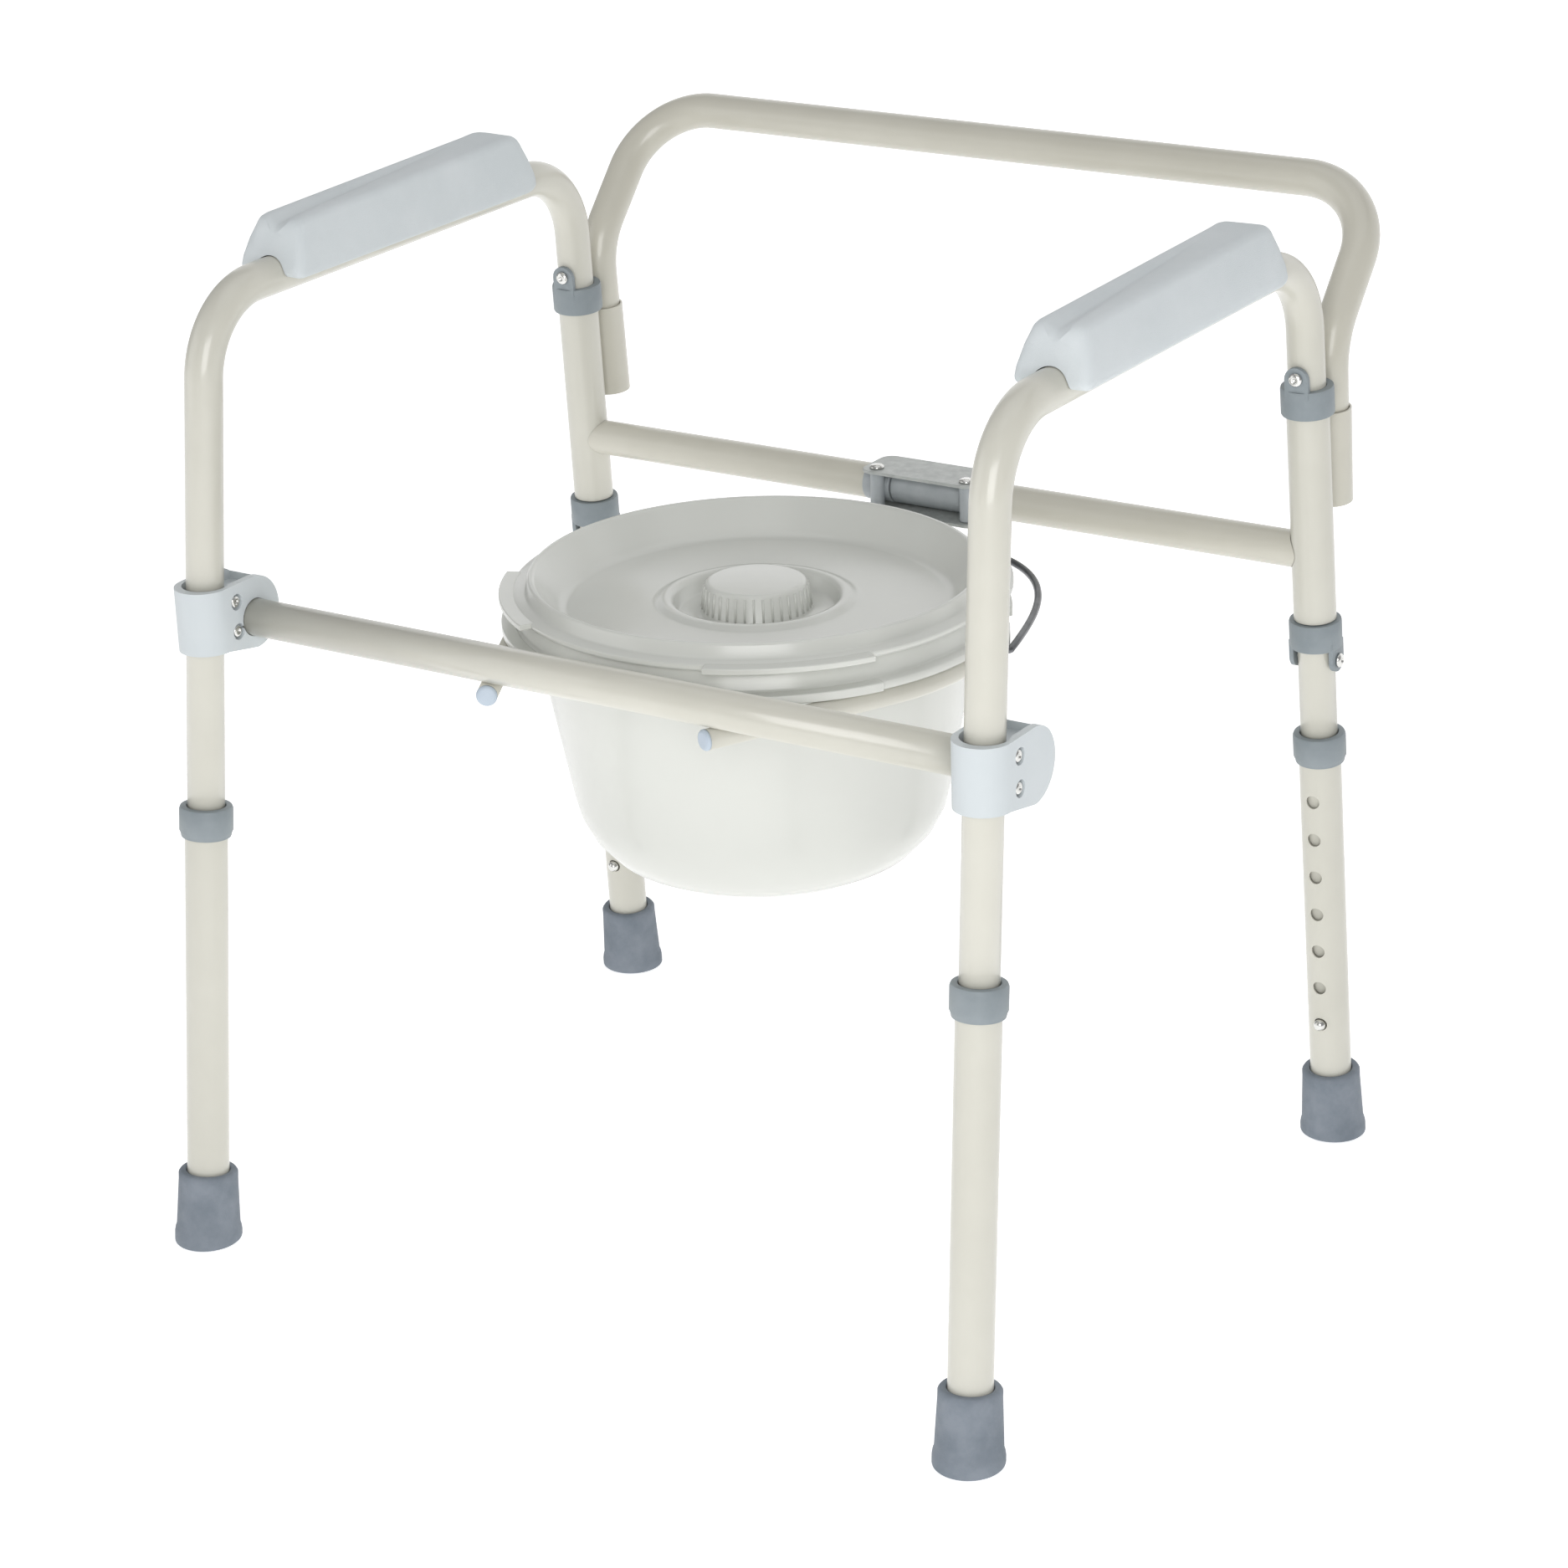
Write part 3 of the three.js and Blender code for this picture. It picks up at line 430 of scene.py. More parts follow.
# ---------------------------------------------------------------- side frames
def arch_stations():
    def corner(end, height):
        return Vector((0, leg_y(end, height), height))

    corners = [corner("front", FRAME_LEG_END), corner("front", ARMREST_HEIGHT)]
    corners += [corner("rear", ARMREST_HEIGHT), corner("rear", FRAME_LEG_END)]
    return bent_path(corners, (ARM_BEND_R, ARM_BEND_R), 24)


def make_arch(side):
    shape = sweep_tube(arch_stations(), TUBE_R, TUBE_BORE, 48)
    piece = Shell().add(*shape).object(f"{side}_arch", side_matrix(side))
    dress(piece, PAINT, f"{side}_side_frame", "paint", f"{side}_arch_tube")


def pad_section(top, inset, scoop, spread, shift):
    """Rounded trapezoid with a tube channel below, as (x, height above the pad's bottom) all round."""
    half, top_half, height = PAD_HALF - inset, PAD_TOP_HALF - inset, top - PAD_LOW - inset
    corner, shoulder = PAD_CORNER, PAD_SHOULDER
    right = []
    for k in range(6):
        angle = -math.pi / 2 + (math.pi / 2) * k / 5
        right.append((half - corner + corner * math.cos(angle), inset + corner + corner * math.sin(angle)))
    right.append((half - 0.3, 8.0 + inset))
    right.append((half - 2.9, height * 0.6))
    lean = math.atan2(half - top_half, height - 8) * 0.8
    for k in range(7):
        angle = lean + (math.pi / 2 - lean) * k / 6
        x = top_half - shoulder + shoulder * math.cos(angle) + 1.4
        right.append((x, height - shoulder + shoulder * math.sin(angle)))
    left = [(-x, z) for x, z in reversed(right)]
    spread = min(spread, top_half - shoulder + 1.2)
    valley = []
    for k in range(9):
        t = 1 - k / 4
        valley.append((shift + spread * t, height - scoop * (1 - abs(t)) ** 0.75))
    channel, axis = TUBE_R + 0.6, ARMREST_HEIGHT - PAD_LOW
    first = math.asin((inset - axis) / channel)
    notch = []
    for k in range(13):
        angle = math.pi - first - (math.pi - 2 * first) * k / 12
        notch.append((channel * math.cos(angle), axis + channel * math.sin(angle)))
    return right + valley + left + notch


def make_pad(side):
    # (share of the length, distance from that end's face, inset)
    front = [(0, 0.0, 6.0), (0, 0.5, 4.2), (0, 1.5, 2.4), (0, 3.0, 1.1), (0, 5.0, 0.3), (0, 7.5, 0.0)]
    middle = [(0.04 + 0.065 * k, 0.0, 0.0) for k in range(14)]
    rear = [(1, -14.0, 0.0), (1, -9.0, 0.5), (1, -5.0, 1.6), (1, -2.4, 3.2), (1, -0.8, 5.2), (1, 0.0, 7.4)]
    stations = front + middle + rear
    rise = PAD_REAR_TOP - PAD_LOW
    points = []
    for share, offset, inset in stations:
        far = min(1.0, (share + offset / (PAD_BACK - PAD_FRONT)) / 0.75)
        scoop = PAD_SCOOP * (1 - max(0.0, far)) ** 0.7
        top = PAD_FRONT_TOP + (PAD_REAR_TOP - PAD_FRONT_TOP) * share
        section = pad_section(top, inset, scoop, 8.0 - 6.0 * far, -6.0 * far)
        for x, z in section:
            low_end = PAD_FRONT + PAD_SLOPE * z / rise
            high_end = PAD_BACK - PAD_REAR_SLOPE * z / rise
            points.append((x, low_end + (high_end - low_end) * share + offset, PAD_LOW + z))
    count = len(pad_section(PAD_FRONT_TOP, 0, 0, 1, 0))
    rings = len(stations)
    caps = [list(range(count)), list(range((rings - 1) * count, rings * count))]
    piece = Shell().add(points, ring_faces(count, rings, False) + caps)
    piece = piece.object(f"{side}_armrest", side_matrix(side))
    soften(piece, 0.8, 2, 50)
    dress(piece, PAD, f"{side}_side_frame", "pad", f"{side}_arm_pad")


def make_extension(side, end):
    facing = LEGS[end][2]
    tube = pipe(OUTER_R, EXTENSION_BORE, EXTENSION_START, along(end, EXTENSION_END), 64)
    piece = Shell().add(*tube).object(f"{end}_{side}_extension", leg_matrix(side, end))
    tools = Shell()
    for i in range(HOLE_COUNT):
        place = at(0, 0, along(end, LOWEST_HOLE) + i * HOLE_PITCH) @ turn_to((0, facing, 0))
        tools.add(*rod(HOLE_R, 5, 20), place)
    subtract(piece, tools.object("holes", leg_matrix(side, end)))
    soften(piece, 0.35, 2, 50)
    dress(piece, PAINT, f"{end}_{side}_leg", "paint", f"{end}_{side}_leg_extension")


def make_leg_collar(side, end):
    bottom, lip = along(end, EXTENSION_END) - LEG_COLLAR_GRIP, along(end, EXTENSION_END) + GAP
    inner, guide = OUTER_R + GAP, TUBE_R + GAP
    profile = [(inner, bottom), (14.7, bottom), (15.2, bottom + 2.6), (15.9, bottom + 4), (15.9, lip + 0.6)]
    profile += [(15.2, lip + 2.4), (guide + 0.6, lip + 2.7), (guide, lip + 2.2), (guide, lip), (inner, lip)]
    piece = Shell().add(*lathe(profile)).object(f"{end}_{side}_collar", leg_matrix(side, end))
    soften(piece, 0.6)
    dress(piece, COLLAR, f"{end}_{side}_leg", "collar", f"{end}_{side}_leg_collar")


def make_foot(side, end):
    cup, floor = OUTER_R + GAP, EXTENSION_START - GAP
    profile = [(0, -4), (20.3, -4), (20.3, 5), (19.9, 7.5), (19.2, 9.5), (17.9, FOOT_HEIGHT - 6)]
    profile += [(17.9, FOOT_HEIGHT - 2), (16.6, FOOT_HEIGHT), (cup, FOOT_HEIGHT), (cup, floor), (0, floor)]
    shell = Shell().add(*lathe(profile), leg_matrix(side, end))
    rake = LEGS[end][0]
    for point in shell.points:
        if point.z < 0:
            point.y += math.tan(rake) * point.z
            point.x += SIDES[side] * math.tan(SIDE_LEAN) * point.z
            point.z = 0
    piece = shell.object(f"{end}_{side}_tip")
    soften(piece, 1.1, 3, 40)
    dress(piece, RUBBER, f"{end}_{side}_leg", "foot", f"{end}_{side}_foot")


def make_button(side, end):
    facing = LEGS[end][2]
    place = leg_matrix(side, end) @ at(0, 0, along(end, LOWEST_HOLE)) @ turn_to((0, facing, 0))
    profile = [(0, 8.6), (3.6, 8.6), (3.6, 13.6), (3.2, 15.2), (2.3, 16.2), (1.2, 16.7), (0, 16.8)]
    piece = Shell().add(*lathe(profile, 32)).object(f"{end}_{side}_pin", place)
    dress(piece, BRIGHT, f"{end}_{side}_button", "screw", f"{end}_{side}_snap_button")


def button_head(radius, height, shank, length):
    """Domed screw head on a shank, with a cross-shaped recess worn into a round socket."""
    profile = [(0, -length), (shank, -length), (shank, 0), (radius, 0), (radius, height * 0.35)]
    profile += [(radius * 0.86, height * 0.72), (radius * 0.58, height), (radius * 0.36, height)]
    profile += [(radius * 0.3, height * 0.45), (0, height * 0.4)]
    return lathe(profile, 32)


def make_sleeve_collars(side):
    leg = leg_matrix(side, "rear")
    inner = TUBE_R + GAP
    top_seat, mid_seat = along("rear", SLEEVE_END) + 0.5, along("rear", SLEEVE_START) - 0.5
    body = f"{side}_side_frame"

    band = [(inner, 0), (15.3, 0), (15.7, 0.8), (15.7, COLLAR_HEIGHT - 1.2), (15.3, COLLAR_HEIGHT)]
    band.append((inner, COLLAR_HEIGHT))
    piece = Shell().add(*lathe(band), leg @ at(0, 0, top_seat)).object(f"{side}_top_ring")
    tab = tab_outline(TAB_HALF, TAB_HEIGHT, -TAB_FACE, -inner - 0.2)
    unite(piece, Shell().add(*tab, leg @ at(0, 0, top_seat + COLLAR_HEIGHT - 4)).object("tab"))
    soften(piece, 0.7, 2, 40)
    dress(piece, COLLAR, body, "collar", f"{side}_sleeve_top_collar")

    screw_height = top_seat + COLLAR_HEIGHT + TAB_SCREW
    place = leg @ at(0, -TAB_FACE - GAP, screw_height) @ turn_to((0, -1, 0))
    screw = Shell().add(*button_head(SCREW_HEAD_R, 2.2, SCREW_SHAFT_R, 2.4), place)
    dress(screw.object(f"{side}_top_screw"), BRIGHT, body, "screw", f"{side}_top_collar_screw")

    piece = Shell().add(*lathe(band), leg @ at(0, 0, mid_seat - COLLAR_HEIGHT)).object(f"{side}_lower_ring")
    for s in (-1, 1):
        hanging = Matrix.Rotation(math.pi, 4, "X") @ Matrix.Rotation(s * math.pi / 2, 4, "Z")
        unite(piece, Shell().add(*tab, leg @ at(0, 0, mid_seat - COLLAR_HEIGHT + 4) @ hanging).object("tab"))
    soften(piece, 0.7, 2, 40)
    dress(piece, COLLAR, body, "collar", f"{side}_sleeve_lower_collar")

    end = BOLT_REACH + 2.2
    profile = [(0, -end), (2.4, -end), (3.8, -end + 0.7), (4.3, -BOLT_REACH - 0.8), (4.3, -BOLT_REACH)]
    profile += [(2.2, -BOLT_REACH), (2.2, BOLT_REACH), (4.3, BOLT_REACH), (4.3, BOLT_REACH + 0.8)]
    profile += [(3.8, end - 0.7), (2.4, end), (1.5, end), (1.3, end - 1.2), (0, end - 1.2)]
    place = leg @ at(0, 0, mid_seat - BOLT_DROP) @ turn_to((SIDES[side], 0, 0))
    bolt = Shell().add(*lathe(profile, 32), place).object(f"{side}_lower_bolt")
    dress(bolt, BRIGHT, body, "screw", f"{side}_lower_collar_bolt")


def tab_outline(half, height, near, far):
    """Round-ended tab standing up along Z from zero, between two depths in Y."""
    outline = [(-half, 0), (half, 0)]
    for k in range(13):
        angle = math.pi * k / 12
        outline.append((half * math.cos(angle), height - half + half * math.sin(angle)))
    points, faces = prism(outline, -far, -near)
    return [(x, -z, y) for x, y, z in points], faces


# ---------------------------------------------------------------- front crossbar group
def make_clamp(side):
    """Strap round the leg with two cheeks that end in a round lobe over the crossbar's end."""
    s = SIDES[side]
    leg_axis = leg_y("front", CROSSBAR_Z)
    centre = at(s * (HALF_WIDTH - 0.2), 0, 0)
    outline = []
    for k in range(33):
        angle = -math.pi / 2 + math.pi * k / 32
        y, z = CROSSBAR_Y + CLAMP_LOBE_R * math.cos(angle), CLAMP_LOBE_Z + CLAMP_LOBE_R * math.sin(angle)
        outline.append((y, z))
    outline += [(leg_axis, CLAMP_HIGH), (leg_axis, CLAMP_LOW)]
    points, faces = prism(outline, -CLAMP_HALF, CLAMP_HALF)
    points = [(z, x, y) for x, y, z in points]
    piece = Shell().add(points, faces, centre).object(f"{side}_clamp")
    wrap = rod(CLAMP_HALF, CLAMP_LOW, CLAMP_HIGH, 64)
    unite(piece, Shell().add(*wrap, centre @ at(0, leg_axis, 0)).object("wrap"))
    lean = Matrix.Rotation(-FRONT_RAKE, 4, "X")
    bore = Shell().add(*rod(CLAMP_BORE, -60, 60, 64), centre @ at(0, leg_axis, CROSSBAR_Z) @ lean)
    subtract(piece, bore.object("bore"))
    socket = rod(TUBE_R + GAP, -40, 13.2, 48)
    along_bar = centre @ at(0, CROSSBAR_Y, CROSSBAR_Z) @ turn_to((s, 0, 0))
    subtract(piece, Shell().add(*socket, along_bar).object("socket"))
    for low, high in ((CLAMP_POCKET_LOW - 30, CLAMP_POCKET_LOW), (CLAMP_POCKET_HIGH, CLAMP_POCKET_HIGH + 30)):
        pocket = box(-12, 12, leg_axis, CROSSBAR_Y + 13, low, high)
        subtract(piece, Shell().add(*pocket, centre).object("pocket"))
    for level, z in CLAMP_SCREW_Z.items():
        for face in (-1, 1):
            place = centre @ at(0, CLAMP_SCREW_Y, z) @ turn_to((face, 0, 0))
            sink = lathe([(0, 9.2), (2.2, 9.2), (2.2, 13.4), (4.6, 13.4), (5.0, 17.2), (0, 17.2)], 32)
            subtract(piece, Shell().add(*sink, place).object("sink"))
            word = "outer" if face == s else "inner"
            head = Shell().add(*button_head(3.6, 1.4, 1.9, 5), place @ at(0, 0, 14.9))
            screw = head.object(f"{side}_{word}_{level}_screw")
            dress(screw, BRIGHT, "front_frame", "screw", f"{side}_clamp_{word}_{level}_screw")
    soften(piece, 1.1, 3, 35)
    dress(piece, CLAMP, "front_frame", "clamp", f"{side}_front_clamp")


def make_crossbar():
    bar = pipe(TUBE_R, TUBE_BORE, -CROSSBAR_HALF, CROSSBAR_HALF, 64)
    piece = Shell().add(*bar, at(0, CROSSBAR_Y, CROSSBAR_Z) @ turn_to((1, 0, 0))).object("crossbar")
    dress(piece, PAINT, "front_frame", "paint", "front_crossbar")


def hoop_spread():
    dx, dy = HOOP_FOOT_X, HOOP_Y - HOOP_FOOT_Y
    return math.asin(HOOP_R / math.hypot(dx, dy)) - math.atan2(dx, dy)


def make_hoop():
    spread, steps = hoop_spread(), 80
    stations = [Vector((HOOP_FOOT_X, HOOP_FOOT_Y, HOOP_Z))]
    for i in range(steps + 1):
        angle = -spread + (math.pi + 2 * spread) * i / steps
        stations.append(Vector((HOOP_R * math.cos(angle), HOOP_Y + HOOP_R * math.sin(angle), HOOP_Z)))
    stations.append(Vector((-HOOP_FOOT_X, HOOP_FOOT_Y, HOOP_Z)))
    piece = Shell().add(*sweep_tube(stations, HOOP_ROD, 0, 24)).object("hoop")
    dress(piece, PAINT, "front_frame", "paint", "pail_hoop")
    for side, s in SIDES.items():
        outward = Matrix.Rotation(-s * spread, 4, "Z") @ turn_to((0, -1, 0))
        place = at(s * HOOP_FOOT_X, HOOP_FOOT_Y, HOOP_Z) @ outward
        profile = [(0, GAP), (6.1, GAP), (6.1, GAP + 1.2), (5.2, GAP + 2.4), (4.2, GAP + 2.6), (0, GAP + 2.6)]
        plug = Shell().add(*lathe(profile, 32), place).object(f"{side}_plug")
        dress(plug, PLUG, "front_frame", "plug", f"{side}_hoop_plug")


# ---------------------------------------------------------------- rear bar group
def make_rear_side(side):
    s = SIDES[side]
    leg = leg_matrix(side, "rear")
    sleeve = pipe(OUTER_R, SLEEVE_BORE, along("rear", SLEEVE_START), along("rear", SLEEVE_END), 64)
    piece = Shell().add(*sleeve, leg).object(f"{side}_sleeve")
    dress(soften(piece, 0.3, 2), PAINT, "rear_bar", "paint", f"{side}_rear_sleeve")

    tube = pipe(OUTER_R, TUBE_R + GAP, along("rear", SOCKET_START), along("rear", SOCKET_END), 64)
    piece = Shell().add(*tube, socket_matrix(side)).object(f"{side}_socket")
    dress(soften(piece, 0.3, 2), SHADED_PAINT, "rear_bar", "paint", f"{side}_rail_socket")
    web = box(-3, 3, -SOCKET_OFFSET + OUTER_R + GAP, -OUTER_R + 0.2, SOCKET_START + 10, SOCKET_END - 8)
    weld = Shell().add(*web, socket_matrix(side)).object(f"{side}_socket_weld")
    dress(soften(weld, 1.0), SHADED_PAINT, "rear_bar", "paint")

    start, end = HALF_WIDTH, BRACKET_HALF + 1
    y = leg_y("rear", REAR_BAR_HEIGHT)
    profile = [(0, end), (TUBE_R, end), (TUBE_R, start)]
    profile += [(TUBE_BORE, start), (TUBE_BORE, end + 3), (0, end + 3)]
    along_bar = at(0, y, REAR_BAR_HEIGHT) @ turn_to((s, 0, 0))
    bar = Shell().add(*lathe(profile, 64), along_bar).object(f"{side}_half_bar")
    subtract(bar, Shell().add(*rod(OUTER_R + GAP, 300, 500, 64), leg).object("cope"))
    dress(soften(bar, 0.5), SHADED_PAINT, "rear_bar", "paint", f"{side}_rear_bar")
    ferrule = Shell().add(*rod(WEB_R - 0.2, WEB_HALF + 0.6, BRACKET_HALF + 3.5, 48), along_bar)
    ferrule = ferrule.object(f"{side}_bar_ferrule")
    knuckle_half = BRACKET_RISE - BRACKET_PLATE - GAP
    on_pin = at(s * PIN_X, PIN_Y, REAR_BAR_HEIGHT)
    knuckle = Shell().add(*pipe(4.5, 3.05, -knuckle_half, knuckle_half, 32), on_pin)
    knuckle = knuckle.object(f"{side}_bar_knuckle")
    for piece in (ferrule, knuckle):
        dress(soften(piece, 0.5), WEB_STEEL, "rear_bar", "zinc")

    reach = BRACKET_RISE + GAP
    profile = [(0, -reach - 1.8), (3.4, -reach - 1.6), (4.6, -reach - 0.8), (4.6, -reach), (3, -reach)]
    profile += [(3, reach), (4.6, reach), (4.6, reach + 0.7), (3.9, reach + 1.6)]
    profile += [(2.2, reach + 2.2), (0, reach + 2.4)]
    pin = Shell().add(*lathe(profile, 32), on_pin).object(f"{side}_pivot_pin")
    dress(pin, BRIGHT, "rear_bar", "screw", f"{side}_hinge_pin")


def rounded_rectangle(x0, x1, y0, y1, radius, steps=6):
    """Outline with its corners rounded, counted anticlockwise."""
    outline = []
    for cx, cy, first in ((x1, y1, 0), (x0, y1, 1), (x0, y0, 2), (x1, y0, 3)):
        ox = cx - radius if cx == x1 else cx + radius
        oy = cy - radius if cy == y1 else cy + radius
        for k in range(steps + 1):
            angle = (first + k / steps) * math.pi / 2
            outline.append((ox + radius * math.cos(angle), oy + radius * math.sin(angle)))
    return outline


def make_bracket():
    outline = rounded_rectangle(-BRACKET_HALF, BRACKET_HALF, BRACKET_FRONT, BRACKET_BACK, 8)
    low, high = REAR_BAR_HEIGHT - BRACKET_RISE, REAR_BAR_HEIGHT + BRACKET_RISE
    piece = Shell().add(*prism(outline, low, high)).object("bracket")
    inside = BRACKET_RISE - BRACKET_PLATE
    low, high = REAR_BAR_HEIGHT - inside, REAR_BAR_HEIGHT + inside
    hollow = box(-60, 60, BRACKET_FRONT - 9, BRACKET_BACK - BRACKET_PLATE, low, high)
    subtract(piece, Shell().add(*hollow).object("hollow"))
    soften(piece, 0.9, 3, 40)
    dress(piece, ZINC, "rear_bar", "zinc", "hinge_bracket")
    place = at(0, BRACKET_WEB_Y, REAR_BAR_HEIGHT) @ turn_to((1, 0, 0))
    web = Shell().add(*rod(WEB_R, -WEB_HALF, WEB_HALF, 48), place).object("bracket_web")
    dress(soften(web, 1.0), WEB_STEEL, "rear_bar", "zinc")


def make_back_rail():
    def in_socket(side, height):
        return socket_matrix(side) @ Vector((0, 0, along("rear", height)))

    def top(side):
        return Vector((SIDES[side] * RAIL_HALF_WIDTH, RAIL_TOP_Y, RAIL_TOP_Z))

    corners = [in_socket("left", RAIL_START), in_socket("left", RAIL_KNEE), top("left")]
    corners += [top("right"), in_socket("right", RAIL_KNEE), in_socket("right", RAIL_START)]
    stations = bent_path(corners, RAIL_BENDS, 20)
    piece = Shell().add(*sweep_tube(stations, TUBE_R, TUBE_BORE, 48)).object("rail")
    dress(piece, SHADED_PAINT, "back_rail", "paint", "back_rail")


# ---------------------------------------------------------------- pail, bail and lid
def pail_matrix(turn=PAIL_TURN):
    return at(0, HOOP_Y, PAIL_Z) @ Matrix.Rotation(turn, 4, "Z")


def arc_plate(radius_in, radius_out, low, high, degrees, centre_degrees, steps=16):
    """Part of a ring, as a tab on a rim."""
    outline = []
    for radius, order in ((radius_out, 1), (radius_in, -1)):
        for k in range(steps + 1):
            angle = math.radians(centre_degrees + order * degrees * (k / steps - 0.5))
            outline.append((radius * math.cos(angle), radius * math.sin(angle)))
    return prism(outline, low, high)


def make_pail():
    wall = PAIL_WALL
    profile = [(0, -147), (66, -147), (80, -144.6), (93, -138), (103, -127), (109, -115), (112, -103)]
    profile += [(130.6, -3), (132.4, -0.6), (134, 0), (146.2, 0), (146.5, 0.8), (146.5, 4.2), (146, 5)]
    profile += [(141, 5.2), (139.7, 6.5), (139.5, 18), (139, 18.5), (137.2, 18.5), (136.6, 18), (133, 2)]
    profile += [(130.6 - wall, -3)]
    profile += [(112 - wall, -103), (106.6, -114), (100.8, -125), (91.6, -135.6), (79.4, -142)]
    profile += [(66, -144.4), (0, -144.4)]
    piece = Shell().add(*lathe(profile, 128)).object("pail_shell", pail_matrix())
    dress(piece, PAIL, "pail", "pail", "pail")
    for index, s in enumerate((1, -1)):
        ear = Shell().add(*tab_outline(EAR_HALF, 20, -1.3, 1.3))
        hanging = Matrix.Rotation(math.pi / 2, 4, "Z") @ Matrix.Rotation(math.pi, 4, "X")
        place = pail_matrix() @ at(s * (EAR_NEAR + EAR_FAR) / 2, 0, 5) @ hanging
        plate = ear.object(f"pail_ear_{index + 1}", place)
        across = pail_matrix() @ at(0, 0, -EAR_PIN) @ turn_to((s, 0, 0))
        subtract(plate, Shell().add(*rod(2.7, 140, 170), across).object("hole"))
        dress(soften(plate, 0.6), PAIL, "pail", "pail")
        shelf = Shell().add(*arc_plate(RIM_INNER_R, EAR_NEAR + 0.1, 0.2, 4.9, 8.6, 180 * index))
        shelf = shelf.object(f"pail_ear_shelf_{index + 1}", pail_matrix())
        dress(soften(shelf, 0.5), PAIL, "pail", "pail")
    for index in range(4):
        tab = Shell().add(*arc_plate(RIM_INNER_R, RIM_TAB_R, 0.1, 5.6, 34, 90 * index))
        tab = tab.object(f"pail_rim_tab_{index + 1}", pail_matrix(RIM_TAB_TURN))
        dress(soften(tab, 0.8), PAIL, "pail", "pail")


def make_bail():
    away = Vector((0, math.sin(BAIL_HANG), -math.cos(BAIL_HANG)))

    def on_wire(across, far):
        return Vector((across, 0, 0)) + away * far

    bend = [(BAIL_END, 0.0), (150.8, 0.0), (152.2, 0.5), (153.0, 1.7)]
    stations = [on_wire(*place) for place in bend]
    steps = 120
    for i in range(1, steps):
        angle = math.pi * i / steps
        across = math.copysign(abs(math.cos(angle)) ** BAIL_SQUARE, math.cos(angle))
        far = BAIL_DEPTH * math.sin(angle) ** BAIL_SQUARE
        if far > 4:
            stations.append(on_wire(BAIL_HALF * across, far))
    stations += [on_wire(-across, far) for across, far in reversed(bend)]
    wire = Shell().add(*sweep_tube(stations, BAIL_WIRE, 0, 20))
    piece = wire.object("bail_wire", pail_matrix() @ at(0, 0, -EAR_PIN))
    dress(piece, WIRE, "bail", "wire", "pail_bail")


def make_lid():
    seat = LID_SEAT
    profile = [(0, seat + 4), (26.5, seat + 4), (28.6, seat + 3.6), (29.8, seat + 2.6), (32, seat - 13.5)]
    profile += [(33.4, seat - 15), (45, seat - 15), (46.6, seat - 14), (48.4, seat - 8), (50, seat - 5.6)]
    profile += [(52, seat - 5)]
    profile += [(56, seat - 5.4), (58.5, seat - 7.4), (61, seat - 7.6), (110, seat - 8.6), (113.6, seat - 8)]
    profile += [(117, seat - 5.4), (128.6, seat + 10.4), (130.4, seat + 12.2), (132, seat + 12.2)]
    profile += [(133, seat + 11), (134, seat + 4.6)]
    profile += [(135.2, seat + 3.6), (142.6, seat + 3.4), (143, seat + 3), (143, seat)]
    profile += [(131, seat)]
    profile += [(129.5, seat + 2), (114.5, seat - 9.5), (111, seat - 11), (57, seat - 10), (51, seat - 10)]
    profile += [(49, seat - 17.5), (32, seat - 17.5), (28.5, seat + 1.5), (0, seat + 1.5)]
    piece = Shell().add(*lathe(profile, 160)).object("lid_disc", pail_matrix(LID_TURN))
    dress(piece, PAIL, "lid", "pail", "pail_lid")
    for k in range(4):
        tab = Shell().add(*arc_plate(RIM_INNER_R, LID_TAB_R, seat + 0.1, seat + LID_THICK, 38, 90 * k))
        tab = tab.object(f"lid_tab_{k + 1}", pail_matrix(LID_TURN))
        dress(soften(tab, 0.7), PAIL, "lid", "pail")
    ribs = Shell()
    rib_top = seat + 1.6
    rib_outline = [(29.3, -0.9), (31.0, -0.35), (31.0, 0.35), (29.3, 0.9)]
    for k in range(KNOB_RIBS):
        place = Matrix.Rotation(2 * math.pi * k / KNOB_RIBS, 4, "Z")
        points, faces = prism(rib_outline, seat - KNOB_RIB_DEPTH, rib_top)
        points = [(x + (rib_top - z) * KNOB_DRAFT, y, z) for x, y, z in points]
        ribs.add(points, faces, place)
    dress(ribs.object("lid_knob_ribs", pail_matrix(LID_TURN)), PAIL, "lid", "pail")


# ---------------------------------------------------------------- small CAD pieces kept as they are
def dress_cad(name, material):
    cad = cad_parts[name]
    cad.data.materials.clear()
    cad.data.materials.append(material)


# ---------------------------------------------------------------- stage
def make_stage():
    """Floor that curves up into a back wall."""
    far, back, curve, top = 6.0, 3.2, 1.2, 6.0
    profile = [(-far, -0.0005), (back, -0.0005)]
    for k in range(1, 12):
        angle = math.pi / 2 * k / 12
        profile.append((back + curve * math.sin(angle), curve - curve * math.cos(angle)))
    profile += [(back + curve, curve), (back + curve, top)]
    points = [(x, y, z) for y, z in profile for x in (-far, far)]
    faces = [[2 * i, 2 * i + 1, 2 * i + 3, 2 * i + 2] for i in range(len(profile) - 1)]
    plane = bpy.data.meshes.new("floor")
    plane.from_pydata(points, [], faces)
    plane.shade_smooth()
    floor = bpy.data.objects.new("floor", plane)
    bpy.context.scene.collection.objects.link(floor)
    paper = finish_material("floor_paper", (0.86,) * 3, (0.88,) * 3, 0.85, grain=60, bump=0.01, drift=1.5)
    shader = paper.node_tree.nodes["Principled BSDF"]
    shader.inputs["Emission Color"].default_value = (1, 1, 1, 1)
    shader.inputs["Emission Strength"].default_value = FLOOR_GLOW
    floor.data.materials.append(paper)


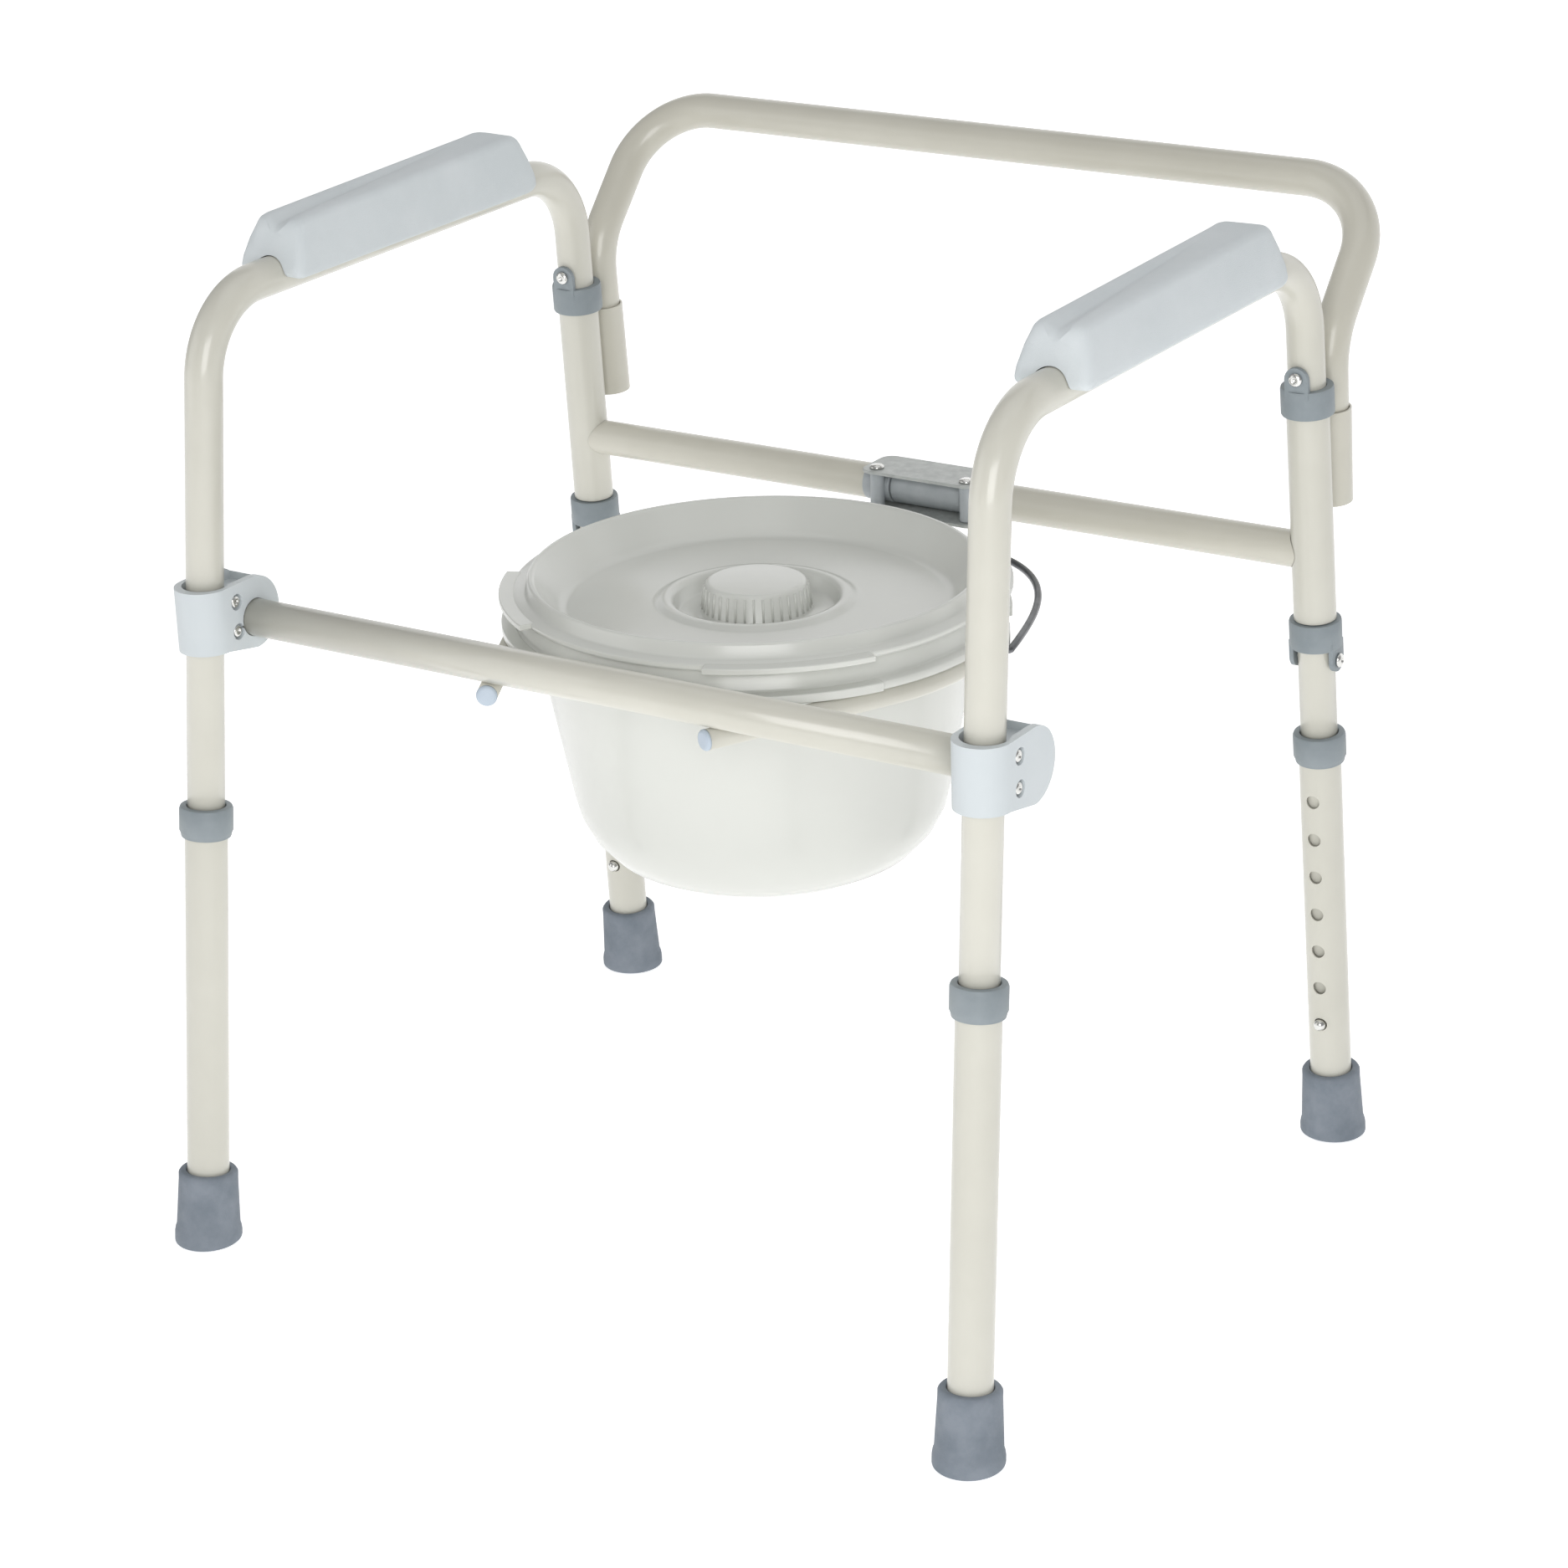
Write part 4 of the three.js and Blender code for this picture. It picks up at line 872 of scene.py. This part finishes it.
def add_light(name, place, target, size, power):
    light = bpy.data.lights.new(name, "AREA")
    light.energy, light.size = power, size
    lamp = bpy.data.objects.new(name, light)
    lamp.location = place
    lamp.rotation_euler = (Vector(target) - Vector(place)).to_track_quat("-Z", "Y").to_euler()
    bpy.context.scene.collection.objects.link(lamp)


def make_lights():
    add_light("key", (1.1, -1.75, 1.1), (0, 0, 0.3), 1.2, 21)
    add_light("fill", (-1.9, -1.5, 1.0), (0, 0, 0.3), 1.8, 9)
    add_light("top", (0.2, 0.2, 2.6), (0, 0, 0.2), 2.0, 8)
    world = bpy.data.worlds.new("studio")
    world.use_nodes = True
    world.node_tree.nodes["Background"].inputs["Color"].default_value = (1, 1, 1, 1)
    world.node_tree.nodes["Background"].inputs["Strength"].default_value = WORLD_GLOW
    bpy.context.scene.world = world
    bpy.context.scene.view_settings.view_transform = "Standard"


CAMERA_AZIMUTH, CAMERA_ELEVATION, CAMERA_ROLL = map(math.radians, (33.0, 21.9, -1.9))
CAMERA_DISTANCE, CAMERA_LENS = 2492.0, 95.5
CAMERA_TARGET = Vector((0, 208.8 - FOOTPRINT_MIDDLE, 258.5))


def make_camera():
    camera = bpy.data.cameras.new("camera")
    camera.lens, camera.sensor_width = CAMERA_LENS, 36
    camera.clip_start, camera.clip_end = 0.05, 50
    a, e = CAMERA_AZIMUTH, CAMERA_ELEVATION
    back = Vector((math.sin(a) * math.cos(e), -math.cos(a) * math.cos(e), math.sin(e)))
    right = Vector((math.cos(a), math.sin(a), 0))
    up = back.cross(right)
    turned_right = right * math.cos(CAMERA_ROLL) + up * math.sin(CAMERA_ROLL)
    turned_up = up * math.cos(CAMERA_ROLL) - right * math.sin(CAMERA_ROLL)
    place = (CAMERA_TARGET + back * CAMERA_DISTANCE) * MM
    eye = bpy.data.objects.new("camera", camera)
    rows = [[turned_right[i], turned_up[i], back[i], place[i]] for i in range(3)] + [[0, 0, 0, 1]]
    eye.matrix_world = Matrix(rows)
    bpy.context.scene.collection.objects.link(eye)
    bpy.context.scene.camera = eye


# ---------------------------------------------------------------- the whole object
for side in SIDES:
    make_arch(side)
    make_pad(side)
    make_sleeve_collars(side)
    make_clamp(side)
    make_rear_side(side)
    for end in LEGS:
        make_extension(side, end)
        make_leg_collar(side, end)
        make_foot(side, end)
        make_button(side, end)
        dress_cad(f"{end}_{side}_snap_spring", ZINC)
make_crossbar()
make_hoop()
make_bracket()
make_back_rail()
make_pail()
make_bail()
make_lid()
make_stage()
make_lights()
make_camera()
